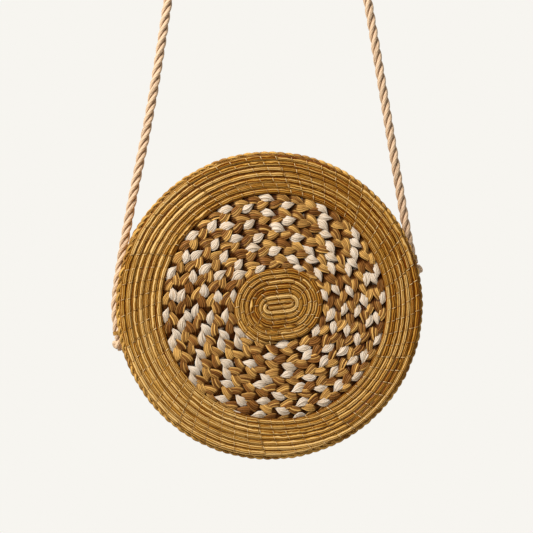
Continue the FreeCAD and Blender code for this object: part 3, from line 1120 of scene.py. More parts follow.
@dataclass(frozen=True)
class StrawFinish(TwoTone):
    """Dry straw: split stalks with fibre streaks, and painted shade on the straws' lower sides and
    in the gaps between them.
    """

    piece: str = "tone"
    ridges: float = 5.0
    level: float = 0.3
    piece_share: float = 0.5
    straw_share: float = 0.4
    streak_share: float = 1.0
    stain_share: float = 0.4
    ridge_share: float = 0.3
    shade_and_darkening_share: float = 0.0
    fading: float = 0.0
    line: float = 0.3
    line_ridge: Pair = (0.4, 0.1)
    line_streak: Pair = (0.35, 0.6)
    line_lots: float = 7.3
    line_lot: Pair = (-0.2, 0.2)
    pale: Colour = shade(236, 203, 146)
    pale_range: Pair = (0.6, 1.05)
    pale_share: float = 0.0
    groove: float = 0.95
    groove_rise: Pair = (0.5, -0.1)
    roughness: float = 0.33
    gloss: float = 0.04
    relief: float = 0.15 * MM
    shadow: Colour = shade(60, 25, 1)

    def material(self) -> bpy.types.Material:
        """Mixes the straw's tones, then its painted dark lines in the fibre valleys, its dye and
        the painted shade between straws.

        Returns:
            The material.
        """
        surface = Surface(self.name, self.roughness, gloss=self.gloss)
        tone = surface.stored("tone")
        fibre = surface.effect(
            FIBRE,
            Along=surface.stored("along"),
            Around=surface.stored("around"),
            Piece=surface.stored(self.piece),
            Ridges=self.ridges,
        )
        share = tone * self.piece_share + self.level
        # Painted shade: the straw darkens across the face towards SHADED_SIDE.
        from_centre = surface.vector("SUBTRACT", surface.place(), BAG_CENTRE[:])
        share = share - surface.vector("DOT_PRODUCT", from_centre, SHADED_SIDE) * self.fading
        # Painted shade from the stored low value, on flank straws and nips; it also carries a
        # coil's extra darkening.
        share = share - surface.stored("low") * self.shade_and_darkening_share
        for label, part in (
            ("Straw", self.straw_share),
            ("Streak", self.streak_share),
            ("Stain", self.stain_share),
            ("Ridge", self.ridge_share),
        ):
            share = share + (fibre[label] - 0.5) * part
        straw = surface.blend(share, self.dark, self.light)
        bright = surface.grade(share, self.pale_range, (0.0, self.pale_share))
        straw = surface.blend(bright, straw, self.pale)
        # Painted shade: dark lines in the valleys between fibres, broken by the streaks and missing
        # on some pieces.
        line = surface.grade(fibre["Ridge"], self.line_ridge, (0.0, self.line))
        line = line * surface.grade(fibre["Streak"], self.line_streak)
        line = line * surface.grade(surface.math("FRACT", tone * self.line_lots), self.line_lot)
        straw = self.dyed_and_shaded(surface, surface.blend(line, straw, self.shadow), fibre)
        # Painted shade: the lower side of each straw, by its stored rise, darkens towards the
        # shadow colour.
        low = surface.grade(surface.stored("rise"), self.groove_rise, (0.0, self.groove))
        colour = surface.blend(self.shaded(surface, low), straw, self.shadow)
        return surface.dressed(colour, fibre["Streak"] + fibre["Ridge"], self.relief)

    def dyed_and_shaded(self, surface: Surface, straw: Value, fibre: Mapping[str, Value]) -> Value:
        """The straw's colour, undyed and without painted shade."""
        return straw

    def shaded(self, surface: Surface, low: Value) -> Value:
        """The share of shadow between straws."""
        return low


@dataclass(frozen=True)
class DyedStrawFinish(StrawFinish):
    """Straw of a plait with one brown, one golden and one cream strand."""

    brown: Colour = (0.36, 0.26, 0.22, 1.0)
    brown_range: Pair = (0.65, 1.05)
    strand_share: float = 0.7
    lot_share: float = 0.3
    single_share: float = 0.7
    single_lots: float = 5.7
    cream: Colour = shade(220, 203, 182)
    cream_streak: Colour = shade(194, 166, 132)
    cream_fleck: Pair = (0.3, 0.6)
    cream_shade_rise: Pair = (-0.4, 0.0)
    cream_unshaded: float = 0.75
    under_shade_range: Pair = (0.2, -0.45)

    def dyed_and_shaded(self, surface: Surface, straw: Value, fibre: Mapping[str, Value]) -> Value:
        """Dyes the straw by its strand, golden as it grew, brown or cream, and paints shade under
        the crossings and below the cream crowns.

        Args:
            surface: The material in the making.
            straw: The colour of undyed straw.
            fibre: The outputs of the fibre effect.

        Returns:
            The dyed colour.
        """
        single = surface.math("FRACT", surface.stored("tone") * self.single_lots)
        chance = surface.stored("strand") * self.strand_share
        chance = surface.stored("lot") * self.lot_share + chance
        reddened = surface.grade(single * self.single_share + chance, self.brown_range)
        straw = surface.blend(reddened, straw, self.brown, "MULTIPLY")
        # Painted shade: the straw darkens where its strand dives under the next.
        under_shade = surface.grade(surface.stored("over"), self.under_shade_range, (0.0, self.groove))
        straw = surface.blend(under_shade, straw, self.shadow)
        fleck = surface.grade(fibre["Streak"], self.cream_fleck)
        cream = surface.blend(fleck, self.cream_streak, self.cream)
        # Painted shade: cream shows only on a leaf's crown; its lower sides keep the darker straw
        # colour.
        crown = surface.grade(surface.stored("rise"), self.cream_shade_rise)
        return surface.blend(surface.stored("cream") * crown, straw, cream)

    def shaded(self, surface: Surface, low: Value) -> Value:
        """The share of shadow between straws, less in the smooth cream leaves."""
        return low * (1.0 - surface.stored("cream") * self.cream_unshaded)


@dataclass(frozen=True)
class ThreadFinish(TwoTone):
    """Pale stitching thread."""

    mottle: float = 900.0
    roughness: float = 0.6
    relief: float = 0.08 * MM

    def material(self) -> bpy.types.Material:
        """Mottles the thread, each stitch in its own tone.

        Returns:
            The material.
        """
        surface = Surface(self.name, self.roughness)
        mottle = surface.noise(surface.place(), self.mottle)
        share = mottle * (surface.stored("tone") * 2.0)
        return surface.dressed(surface.blend(share, self.dark, self.light), mottle, self.relief)


@dataclass(frozen=True)
class RopeFinish(TwoTone):
    """Twisted rope: each strand is laid from yarns that turn the other way."""

    shadow: Colour = shade(122, 76, 38)
    groove: float = 0.8
    groove_rise: Pair = (0.75, 0.2)
    yarns: float = 5.0
    yarn_lay: float = 15.0 * MM
    yarn_ridges: float = 3.0
    level: float = 0.25
    ridge_share: float = 0.3
    streak_share: float = 0.55
    streak_relief: float = 0.4
    roughness: float = 0.75
    relief: float = 0.12 * MM

    def material(self) -> bpy.types.Material:
        """Twists the yarns round each strand and shades the grooves between strands.

        Returns:
            The material.
        """
        surface = Surface(self.name, self.roughness)
        along = surface.stored("along")
        twist = along / self.yarn_lay * -self.yarns
        phase = surface.stored("around") * self.yarns + twist
        ridge = surface.math("ABSOLUTE", surface.math("SINE", phase * math.pi))
        fibre = surface.effect(
            FIBRE, Along=along, Around=phase, Piece=surface.stored("tone"), Ridges=self.yarn_ridges
        )
        share = ridge * self.ridge_share + self.level + fibre["Streak"] * self.streak_share
        yarn = surface.blend(share, self.dark, self.light)
        # Painted shade: the grooves between strands, where the stored rise is low.
        low = surface.grade(surface.stored("rise"), self.groove_rise, (0.0, self.groove))
        height = fibre["Streak"] * self.streak_relief + ridge
        return surface.dressed(surface.blend(low, yarn, self.shadow), height, self.relief)


@dataclass(frozen=True)
class ClothFinish(TwoTone):
    """Plain woven cloth."""

    thread: float = 0.7 * MM
    slub_share: float = 0.7
    height_share: float = 0.5
    roughness: float = 0.85
    relief: float = 0.2 * MM

    def material(self) -> bpy.types.Material:
        """Weaves the cloth.

        Returns:
            The material.
        """
        surface = Surface(self.name, self.roughness)
        lengths = {"Along": surface.stored("along"), "Across": surface.stored("around")}
        weave = surface.effect(WEAVE, **lengths, Thread=self.thread)
        share = weave["Slub"] * self.slub_share + weave["Height"] * self.height_share
        colour = surface.blend(share, self.dark, self.light)
        return surface.dressed(colour, weave["Height"], self.relief)


@dataclass(frozen=True)
class LeatherFinish(TwoTone):
    """Pebbled leather."""

    pebbles: float = 900.0
    patches: float = 60.0
    roughness: float = 0.5
    relief: float = 0.15 * MM

    def material(self) -> bpy.types.Material:
        """Pebbles the leather and darkens it in patches.

        Returns:
            The material.
        """
        surface = Surface(self.name, self.roughness)
        place = surface.place()
        cells = surface.out("ShaderNodeTexVoronoi", {"Vector": place, "Scale": self.pebbles})
        colour = surface.blend(surface.noise(place, self.patches), self.dark, self.light)
        return surface.dressed(colour, cells, self.relief)


@dataclass(frozen=True)
class BrassFinish(TwoTone):
    """Brushed brass with a dull film in patches."""

    patches: float = 120.0
    patch_range: Pair = (0.3, 0.7)
    patch_roughness: Pair = (0.24, 0.42)
    brushing: float = 2500.0
    relief: float = 0.02 * MM

    def material(self) -> bpy.types.Material:
        """Brushes the brass and dulls it in patches.

        Returns:
            The material.
        """
        surface = Surface(self.name, self.patch_roughness[0], metallic=1.0)
        place = surface.place()
        patches = surface.noise(place, self.patches)
        dull = surface.grade(patches, self.patch_range, self.patch_roughness)
        surface.feed(surface.inputs["Roughness"], dull)
        colour = surface.blend(patches, self.dark, self.light)
        return surface.dressed(colour, surface.noise(place, self.brushing), self.relief)


class Finish(Enum):
    """The finishes of the bag's pieces."""

    COIL = StrawFinish(
        "coil_straw",
        shade(108, 48, 0),
        shade(212, 158, 62),
        piece="origin",
        ridges=6.0,
        level=0.43,
        piece_share=0.3,
        straw_share=0.6,
        stain_share=0.15,
        ridge_share=0.7,
        shade_and_darkening_share=0.35,
        fading=1.7,
        line=0.9,
        groove_rise=(0.6, 0.1),
        pale_share=0.55,
    ).material()
    BRAID = DyedStrawFinish(
        "braid_straw",
        shade(106, 56, 12),
        shade(232, 180, 100),
        ridges=3.0,
        piece_share=0.7,
        straw_share=0.3,
        ridge_share=0.2,
        line=0.5,
        groove_rise=(0.75, 0.1),
    ).material()
    PLAIT = StrawFinish(
        "plait_straw", shade(118, 66, 14), shade(228, 178, 94), ridges=6.0, groove_rise=(0.2, -0.3)
    ).material()
    EDGE = StrawFinish(
        "edge_straw", shade(118, 66, 14), shade(228, 178, 94), groove=0.0
    ).material()
    THREAD = ThreadFinish("stitch_thread", shade(158, 116, 56), shade(226, 194, 136)).material()
    ROPE = RopeFinish("strap_cotton", shade(146, 98, 56), shade(230, 200, 164)).material()
    # Painted shade: the lining shows only through the gaps between straws, and its dark brown
    # stands in for the shade there.
    LINING = ClothFinish("lining_cotton", shade(92, 62, 34), shade(134, 96, 58)).material()
    TAPE = ClothFinish("zip_tape_weave", shade(150, 120, 76), shade(200, 172, 122)).material()
    LEATHER = LeatherFinish("tab_hide", shade(112, 70, 36), shade(150, 100, 56)).material()
    BRASS = BrassFinish("zip_brass", shade(164, 126, 62), shade(214, 176, 98)).material()


# The bag


class Face(Enum):
    """The bag's two round faces, by the way that each one looks along Y."""

    FRONT = -1
    BACK = 1

    @property
    def label(self) -> str:
        """The face's name in the frame."""
        return self.name.lower()

    def placement(self) -> Matrix:
        """Takes a face drawn flat, with Z out of it and the bag's centre at zero, to its place."""
        about = Matrix.Rotation(0 if self is Face.FRONT else math.pi, 4, "Z")
        return Matrix.Translation(BAG_CENTRE) @ about @ Matrix.Rotation(math.pi / 2, 4, "X")


def settle(piece: bpy.types.Object, slot: str, body: str, *nodes: str) -> bpy.types.Object:
    """Ties a finished piece to the frame.

    Args:
        piece: The piece, in place.
        slot: Its material slot; not used.
        body: The body that it rides on.
        nodes: The CAD nodes that it stands for.

    Returns:
        The piece.
    """
    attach(piece, body)
    if nodes:
        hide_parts(*nodes)
    LOG.info("%s: %d faces on %s", piece.name, len(piece.data.polygons), body)
    return piece


@dataclass
class FaceLayout:
    """Where the coils and the plait of a face lie, as seen from outside the face."""

    rim_radius: float = 100.1 * MM
    ring_radius: float = 75.1 * MM
    ring_centre: Pair = (2.8 * MM, -0.4 * MM)
    oval_half: Pair = (29.0 * MM, 24.8 * MM)
    oval_centre: Pair = (5.5 * MM, -1.0 * MM)
    oval_tilt: float = math.radians(7)
    row_change_at: float = math.radians(-50)
    top: float = 35.0 * MM
    floor: float = 31.5 * MM

    @property
    def tilt(self) -> np.ndarray:
        """Turns points, one in each row, from the oval's own axes to the face's."""
        cosine, sine = math.cos(self.oval_tilt), math.sin(self.oval_tilt)
        return np.array([[cosine, sine], [-sine, cosine]])

    def rim(self, angle: np.ndarray) -> np.ndarray:
        """Points of the face's outer edge."""
        return self.rim_radius * circle(angle)

    def ring(self, angle: np.ndarray) -> np.ndarray:
        """Points of the circle where the plait goes under the rim coil."""
        return self.ring_centre + self.ring_radius * circle(angle)

    def oval(self, angle: np.ndarray) -> np.ndarray:
        """Points of the oval where the plait goes under the centre coil."""
        return self.oval_centre + (self.oval_half * circle(angle - self.oval_tilt)) @ self.tilt

    def between_coils(self, points: np.ndarray) -> np.ndarray:
        """Measures how far points lie inside the ring and outside the oval.

        Args:
            points: The points, one row each.

        Returns:
            The lesser distance, below zero beyond the ring or the oval.
        """
        inside = self.ring_radius - np.linalg.norm(points[:, :2] - self.ring_centre, axis=1)
        oval = (points[:, :2] - self.oval_centre) @ self.tilt.T / self.oval_half
        return np.minimum(inside, (np.linalg.norm(oval, axis=1) - 1) * self.oval_half[1])


@dataclass
class FaceCoils:
    """The stitched straw coils of one face: the rim round the plait, and the oval centre."""

    face: Face
    layout: FaceLayout
    rim_rows: int = 7
    rim_stitches: int = 60
    stitch_swirl: float = 0.16
    row_change: float = 0.12
    straw_thickness: float = 0.85 * MM
    broad: float = 0.85
    crown: float = 0.4 * MM
    centre_half_turns: int = 14
    centre_pitch: float = 3.36 * MM
    centre_run: float = 9.8 * MM
    eye_run: float = 3.0 * MM
    eye_run_fade: float = 4.0
    eye_point: float = 0.5
    eye_point_fade: float = 2.0
    centre_lead: float = 1.3 * MM
    centre_tail: float = 22.0 * MM
    centre_stitch: float = 9.0 * MM
    least_taper: float = 0.15
    rim_nip: float = 0.12
    centre_nip: float = 0.18
    nip_depth: float = 2.0 * MM
    centre_darkening: float = 0.17
    stitch_slant: float = math.radians(24)
    stitch_length: float = 2.5 * MM
    stitch_rise: float = 0.8 * MM
    stitch_jitter: float = 0.05
    stitch_seed: int = 41
    samples: int = 180

    def line(self, flat: np.ndarray, stitch: np.ndarray, taper: np.ndarray) -> Line:
        """Lifts a coil's line to the height where the coil's top meets the face's.

        Args:
            flat: The points of the line.
            stitch: The stitch phase at each, whole at a stitch.
            taper: The share of the full bundle at each.

        Returns:
            The points, and the stitch phase and taper stored at them.
        """
        level = self.layout.top - self.straw_thickness * (1 + self.broad) / 2 - self.crown
        taper = np.maximum(taper, self.least_taper)
        return at_level(flat, level), {"stitch": stitch, "taper": taper}

    def rim_line(self) -> Line:
        """Winds the rim from the ring out to the edge.

        Returns:
            The points, and the stitch phase and taper stored at them.
        """
        rows, change = self.rim_rows, self.row_change
        turns, row, angle = winding(rows, change, self.layout.row_change_at, self.samples)
        row = np.clip(row, 0, rows - 1)
        share = ((row + 0.5) / rows)[:, None]
        flat = self.layout.ring(angle) * (1 - share) + self.layout.rim(angle) * share
        taper = smooth_step(turns, -change, 0) * (1 - smooth_step(turns, rows - change, rows))
        return self.line(flat, turns * self.rim_stitches - row * self.stitch_swirl, taper)

    def centre_line(self) -> Line:
        """Winds the centre by half turns about the two ends of a short straight start.

        Returns:
            The points, and the stitch phase and taper stored at them.
        """
        half_run = (self.centre_run + self.eye_run) / 2
        points = [np.array([[-half_run - self.centre_lead, 0.0], [half_run, 0.0]])]
        for number in range(self.centre_half_turns):
            even = number % 2 == 0
            radius = (number + 1) * self.centre_pitch / 2
            half_run = self.centre_run / 2
            half_run += self.eye_run / 2 * math.exp(-number / self.eye_run_fade)
            stretch = 1 + self.eye_point * math.exp(-number / self.eye_point_fade)
            centre = (half_run, self.centre_pitch / 2) if even else (-half_run, 0.0)
            first = -math.pi / 2 if even else math.pi / 2
            arc = circle(np.linspace(first, first + math.pi, 8 + 4 * number))
            points.append(centre + radius * arc * (stretch, 1.0))
        flat = np.concatenate(points) + (self.centre_pitch / 4, 0.0)
        flat = flat @ self.layout.tilt + self.layout.oval_centre
        length = run_lengths(flat)
        taper = 1 - smooth_step(length, length[-1] - self.centre_tail, length[-1])
        return self.line(flat, length / self.centre_stitch, taper)

    def stitches(self, line: np.ndarray, phase: np.ndarray) -> tuple[np.ndarray, np.ndarray]:
        """Places the stitches over a coil.

        Args:
            line: The coil's centre line.
            phase: The stitch phase along it, whole at each stitch.

        Returns:
            The points, and the direction of the thread at each.
        """
        whole = np.arange(math.ceil(phase[0]), math.floor(phase[-1]) + 1).astype(float)
        jitter = np.random.default_rng(self.stitch_seed).uniform(-1, 1, len(whole))
        whole += jitter * self.stitch_jitter
        tangent = np.gradient(line[:, :2], axis=0)
        columns = np.column_stack((line, tangent)).T
        *place, east, north = (np.interp(whole, phase, column) for column in columns)
        slant = np.arctan2(north, east) + math.pi / 2 + self.stitch_slant
        return np.column_stack(place) + (0.0, 0.0, self.crown), at_level(circle(slant), 0.0)

    def build(self) -> None:
        """Builds and dresses the two coils and their stitches."""
        for label, nip, darkening, (line, values) in (
            ("rim", self.rim_nip, 0.0, self.rim_line()),
            ("centre", self.centre_nip, self.centre_darkening, self.centre_line()),
        ):
            name = f"{self.face.label}_{label}"
            coil = Growth.COIL.value.grow(
                f"{name}_straws",
                Guide([line], values),
                Finish.COIL.value,
                {
                    "Thickness": self.straw_thickness,
                    "Broad": self.broad,
                    "Crown": self.crown,
                    "Nip": nip,
                    "Bite": nip * self.nip_depth,
                    "Age": darkening,
                },
            )
            places, headings = self.stitches(line, values["stitch"])
            thread = Growth.STITCHES.value.grow(
                f"{name}_stitches",
                Guide([places], {"heading": headings}, joined=False),
                Finish.THREAD.value,
                {"Length": self.stitch_length, "Rise": self.stitch_rise},
            )
            for piece in (coil, thread):
                piece.data.transform(self.face.placement())
            settle(coil, "coil_straw", "bag", f"{name}_coil")
            settle(thread, "coil_straw", "bag")


@dataclass
class FaceBraid:
    """The ring of three-strand plait between the coils of one face."""

    face: Face
    layout: FaceLayout
    rows: int = 5
    period: float = 27.6 * MM
    row_change: float = 0.3
    row_pitch: float = 9.4 * MM
    level: float = 33.3 * MM
    tuck: float = 0.6
    tuck_reach: float = 3.5 * MM
    paired_degrees: Places = ((10, 65), (170, 225))
    period_lead: float = 0.04
    samples: int = 240

    def line(self) -> Line:
        """Winds the plait from under the oval out to under the rim.

        Returns:
            The points, and the row's spread and the strands' pairing stored at them.
        """
        change_at = self.layout.row_change_at
        _, row, angle = winding(self.rows, self.row_change, change_at, self.samples)
        oval, ring = self.layout.oval(angle), self.layout.ring(angle)
        share = ((row + 0.5) / self.rows)[:, None]
        flat = oval * (1 - share) + ring * share
        spread = np.linalg.norm(ring - oval, axis=1) / self.rows / self.row_pitch
        # The pairing changes only between periods, where neither of the paired strands is on top.
        length = run_lengths(flat)
        whole_periods = np.floor(length / self.period + self.period_lead) * self.period
        degrees = np.degrees(np.interp(whole_periods, length, angle)) % 360
        paired = np.zeros(len(angle))
        for start, end in self.paired_degrees:
            paired[(degrees - start) % 360 < end - start] = 1
        return at_level(flat, self.level), {"spread": spread, "paired": paired}

    def build(self) -> None:
        """Builds and dresses the plait, pressed flat where it goes under the coils."""
        line, values = self.line()
        braid = Growth.PLAIT.value.grow(
            f"{self.face.label}_braid",
            Guide([line], values),
            Finish.BRAID.value,
            {
                "Straws": 5,
                "Overlap": 1.3,
                "Crown": 0.5 * MM,
                "Cream": 1.0,
                "Period": self.period,
                "Step": 1.8 * MM,
                "Width": 5.8 * MM,
                "Thickness": 1.4 * MM,
                "Pinch": 0.86,
                "Swell": 0.2,
                "Ridges": 3,
                "Groove": 0.05,
                "Seed": 11 if self.face is Face.FRONT else 12,
            },
        )
        points = points_of(braid.data)
        depth = self.layout.between_coils(points)
        pressed = 1 - smooth_step(depth, -self.tuck_reach / 2, self.tuck_reach)
        height = points[:, 2] - self.layout.floor
        points[:, 2] = self.layout.floor + height * (1 - self.tuck * pressed)
        set_points(braid.data, points)
        braid.data.transform(self.face.placement())
        settle(braid, "braid_straw", "bag", f"{self.face.label}_braid_ring")


@dataclass
class SideWall:
    """The plaited side wall with its edge plaits, its lining and the tabs at the zip's ends."""

    edge_radius: float = 100.4 * MM
    edge_depth: float = 31.2 * MM
    edge_period: float = 16.8 * MM
    edge_samples: int = 361
    wall_radius: float = 97.7 * MM
    rows: int = 6
    row_pitch: float = 9.0 * MM
    row_period: float = 22.0 * MM
    row_seed: int = 31
    mouth_angle: float = math.radians(47)
    hem_depth: float = 16.4 * MM
    hem_stitch: float = 8.0 * MM
    lining_radii: Pair = (95.5 * MM, 96.2 * MM)
    panel_depths: Pair = (29.95 * MM, 31.45 * MM)
    panel_radius: float = 98.0 * MM
    panel_chamfer: float = 0.7 * MM
    lining_half_depth: float = 29.6 * MM
    mouth_edge: float = 16.6 * MM
    backing: float = 0.4 * MM
    tab_angles: Pair = (math.radians(44.5), math.radians(50.5))
    tab_half_depth: float = 14.6 * MM
    tab_radii: Pair = (96.5 * MM, 99.3 * MM)
    tab_chamfer: float = 0.5 * MM
    samples: int = 240

    def strip(self, depth: float, start: float, end: float) -> np.ndarray:
        """Draws a straight guide for a row of the wall, to be wrapped later.

        Args:
            depth: The row's place along Y.
            start: The angle from the bag's top where it starts.
            end: The angle where it ends.

        Returns:
            The guide's points.
        """
        along = np.linspace(self.wall_radius * start, self.wall_radius * end, self.samples)
        return at_level(np.column_stack((along, np.full(self.samples, depth))), 0.0)

    def plait(
        self,
        name: str,
        line: np.ndarray,
        length: float,
        period: float,
        finish: bpy.types.Material,
        sizes: Mapping[str, float],
    ) -> bpy.types.Object:
        """Grows a plait of even width with whole periods.

        Args:
            name: The name of the piece.
            line: The guide's points.
            length: The guide's length.
            period: About how long a period is.
            finish: The material.
            sizes: The plait's other sizes.

        Returns:
            The plait, where its guide was drawn.
        """
        values = {"spread": np.ones(len(line)), "paired": np.zeros(len(line))}
        fitted = {"Period": length / round(length / period), **sizes}
        return Growth.PLAIT.value.grow(name, Guide([line], values), finish, fitted)

    def edge_plait(self, face: Face) -> None:
        """Makes the open plait round the edge of one face, which stands out past the rim coil.

        Args:
            face: The face.
        """
        flat = self.edge_radius * circle(np.linspace(-math.pi, math.pi, self.edge_samples))
        plait = self.plait(
            f"{face.label}_edge_straws",
            at_level(flat, self.edge_depth),
            TURN * self.edge_radius,
            self.edge_period,
            Finish.EDGE.value,
            {
                "Step": 0.9 * MM,
                "Swing": 1.35 * MM,
                "Lift": 0.8 * MM,
                "Width": 2.3 * MM,
                "Thickness": 1.5 * MM,
                "Pinch": 0.2,
                "Ridges": 5,
                "Seed": 21,
            },
        )
        plait.data.transform(face.placement())
        settle(plait, "plait_straw", "bag", f"{face.label}_edge_plait")

    def wall_plait(self) -> None:
        """Makes the wall's rows of plait: the outer ones go all round, the rest stop at the zip."""
        sizes = {
            "Step": 1.6 * MM,
            "Swing": 2.4 * MM,
            "Lift": 0.65 * MM,
            "Width": 5.4 * MM,
            "Thickness": 1.4 * MM,
        }
        rows = []
        for number in range(self.rows):
            whole = number in (0, self.rows - 1)
            depth = (number - (self.rows - 1) / 2) * self.row_pitch
            ends = (-math.pi, math.pi) if whole else (self.mouth_angle, TURN - self.mouth_angle)
            rows.append(
                self.plait(
                    f"wall_row_{number}",
                    self.strip(depth, *ends),
                    self.wall_radius * (ends[1] - ends[0]),
                    self.row_period,
                    Finish.PLAIT.value,
                    {**sizes, "Seed": self.row_seed + number},
                )
            )
        wall = join("wall_plait", rows)
        wrap(wall, self.wall_radius, Matrix.Translation(BAG_CENTRE))
        settle(wall, "plait_straw", "bag", "gusset_band", "zip_strip_front", "zip_strip_back")

    def mouth_hems(self) -> None:
        """Makes the straw bundles along the two sides of the zip."""
        angle = self.mouth_angle
        runs = [self.strip(side * self.hem_depth, -angle, angle) for side in (-1, 1)]
        stitches = round(self.wall_radius * 2 * angle / self.hem_stitch)
        stitch = np.tile(np.linspace(0, stitches, self.samples), 2)
        hem = Growth.COIL.value.grow(
            "mouth_hem",
            Guide(runs, {"stitch": stitch, "taper": np.ones(len(stitch))}),
            Finish.PLAIT.value,
            {
                "Straws": 2,
                "Spacing": 1.2 * MM,
                "Width": 1.45 * MM,
                "Thickness": 1.6 * MM,
                "Broad": 0.0,
            },
        )
        wrap(hem, self.wall_radius, Matrix.Translation(BAG_CENTRE))
        settle(hem, "plait_straw", "bag")

    def lining(self) -> None:
        """Makes the cloth pouch: a panel behind each face and a band inside the wall."""
        cloth, angle, half = Finish.LINING.value, self.mouth_angle, self.lining_half_depth
        low, high = self.panel_depths
        edge = self.panel_radius - self.panel_chamfer
        corners = (low, 0.0), (low, edge), ((low + high) / 2, self.panel_radius), (high, edge)
        parts = []
        for side in (-1, 1):
            section = [(side * depth, radius) for depth, radius in (*corners, (high, 0.0))]
            parts.append(swept_ring("lining_panel", section, cloth))
        inner, outer = self.lining_radii
        section = box_section(-half, half, inner, outer)
        parts.append(swept_ring("lining_band", section, cloth, angle, TURN - angle))
        for side in (-1, 1):
            section = box_section(side * self.mouth_edge, side * half, outer, outer + self.backing)
            parts.append(swept_ring("lining_strip", section, cloth, -angle, angle))
        pouch = join("lining_pouch", parts)
        settle(pouch, "lining_cloth", "bag", "front_lining", "back_lining", "gusset_lining")

    def end_tabs(self) -> None:
        """Makes the leather tabs that cover the two ends of the zip."""
        (inner, outer), (start, end) = self.tab_radii, self.tab_angles
        half, chamfer = self.tab_half_depth, self.tab_chamfer
        top, bevelled = outer - chamfer, half - chamfer
        section = (-half, inner), (half, inner), (half, top), (bevelled, outer)
        section = *section, (-bevelled, outer), (-half, top)
        for label, ends in (("left", (-end, -start)), ("right", (start, end))):
            tab = swept_ring(f"{label}_tab", section, Finish.LEATHER.value, *ends)
            settle(tab, "tab_leather", "bag", f"zip_end_tab_{label}")

    def build(self) -> None:
        """Builds and dresses the wall's pieces."""
        for face in Face:
            self.edge_plait(face)
        self.wall_plait()
        self.mouth_hems()
        self.lining()
        self.end_tabs()


@dataclass
class Zip:
    """The zip in the top of the wall: tapes, teeth, stops, slider and pull."""

    tape_radii: Pair = (95.3 * MM, 96.0 * MM)
    tape_depths: Pair = (2.35 * MM, 16.8 * MM)
    bead_width: float = 1.6 * MM
    bead_height: float = 0.35 * MM
    tape_angle: float = math.radians(44.1)
    tooth_pitch: float = 2.5 * MM
    tooth_mesh: float = 0.6 * MM
    tooth_length: float = 1.0 * MM
    stop_length: float = 2.45 * MM
    bevel: float = 0.22 * MM

    def tape(self, face: Face) -> None:
        """Makes one tape, thicker along the edge that carries the teeth.

        Args:
            face: The face that the tape lies beside.
        """
        inner, outer = self.tape_radii
        edge, far = (face.value * depth for depth in self.tape_depths)
        bead, crest = edge + face.value * self.bead_width, outer + self.bead_height
        section = (edge, inner), (far, inner), (far, outer), (bead, outer)
        section = *section, (bead, crest), (edge, crest)
        ends = -self.tape_angle, self.tape_angle
        tape = swept_ring(f"{face.label}_tape", section, Finish.TAPE.value, *ends)
        settle(tape, "zip_tape", f"zip_{face.label}", f"zip_tape_{face.label}")

    def teeth(self, face: Face) -> None:
        """Makes one row of teeth, half a pitch apart from the other row.

        Args:
            face: The face that the row lies beside.
        """
        radius, edge = self.tape_radii[0], self.tape_depths[0]
        pitch = self.tooth_pitch / radius
        first = -self.tape_angle + pitch / 2 + (pitch / 2 if face is Face.BACK else 0)
        room = 2 * self.tape_angle - self.stop_length / radius - pitch
        angles = first + pitch * np.arange(int(room / pitch))
        depths = np.full(len(angles), face.value * (edge - self.tooth_mesh) / 2)
        teeth = Growth.TEETH.value.grow(
            f"{face.label}_teeth",
            Guide([at_level(np.column_stack((angles * radius, depths)), 0.0)], joined=False),
            Finish.BRASS.value,
            {"Length": self.tooth_length, "Reach": edge + self.tooth_mesh},
        )
        wrap(teeth, radius, Matrix.Translation(BAG_CENTRE))
        settle(teeth, "zip_metal", f"zip_{face.label}", f"zip_teeth_{face.label}")

    def metal(self, node: str, name: str, body: str) -> None:
        """Makes a brass piece after its CAD node, with its edges rounded.

        Args:
            node: The CAD node.
            name: The name of the piece.
            body: The body that it rides on.
        """
        piece = softened_copy(node, name, self.bevel, Finish.BRASS.value)
        settle(piece, "zip_metal", body, node)

    def build(self) -> None:
        """Builds and dresses the zip."""
        for face in Face:
            self.tape(face)
            self.teeth(face)
            self.metal(f"zip_stop_{face.label}", f"{face.label}_stop", f"zip_{face.label}")
        for label in ("slider", "pull"):
            self.metal(f"zip_{label}", f"brass_{label}", label)


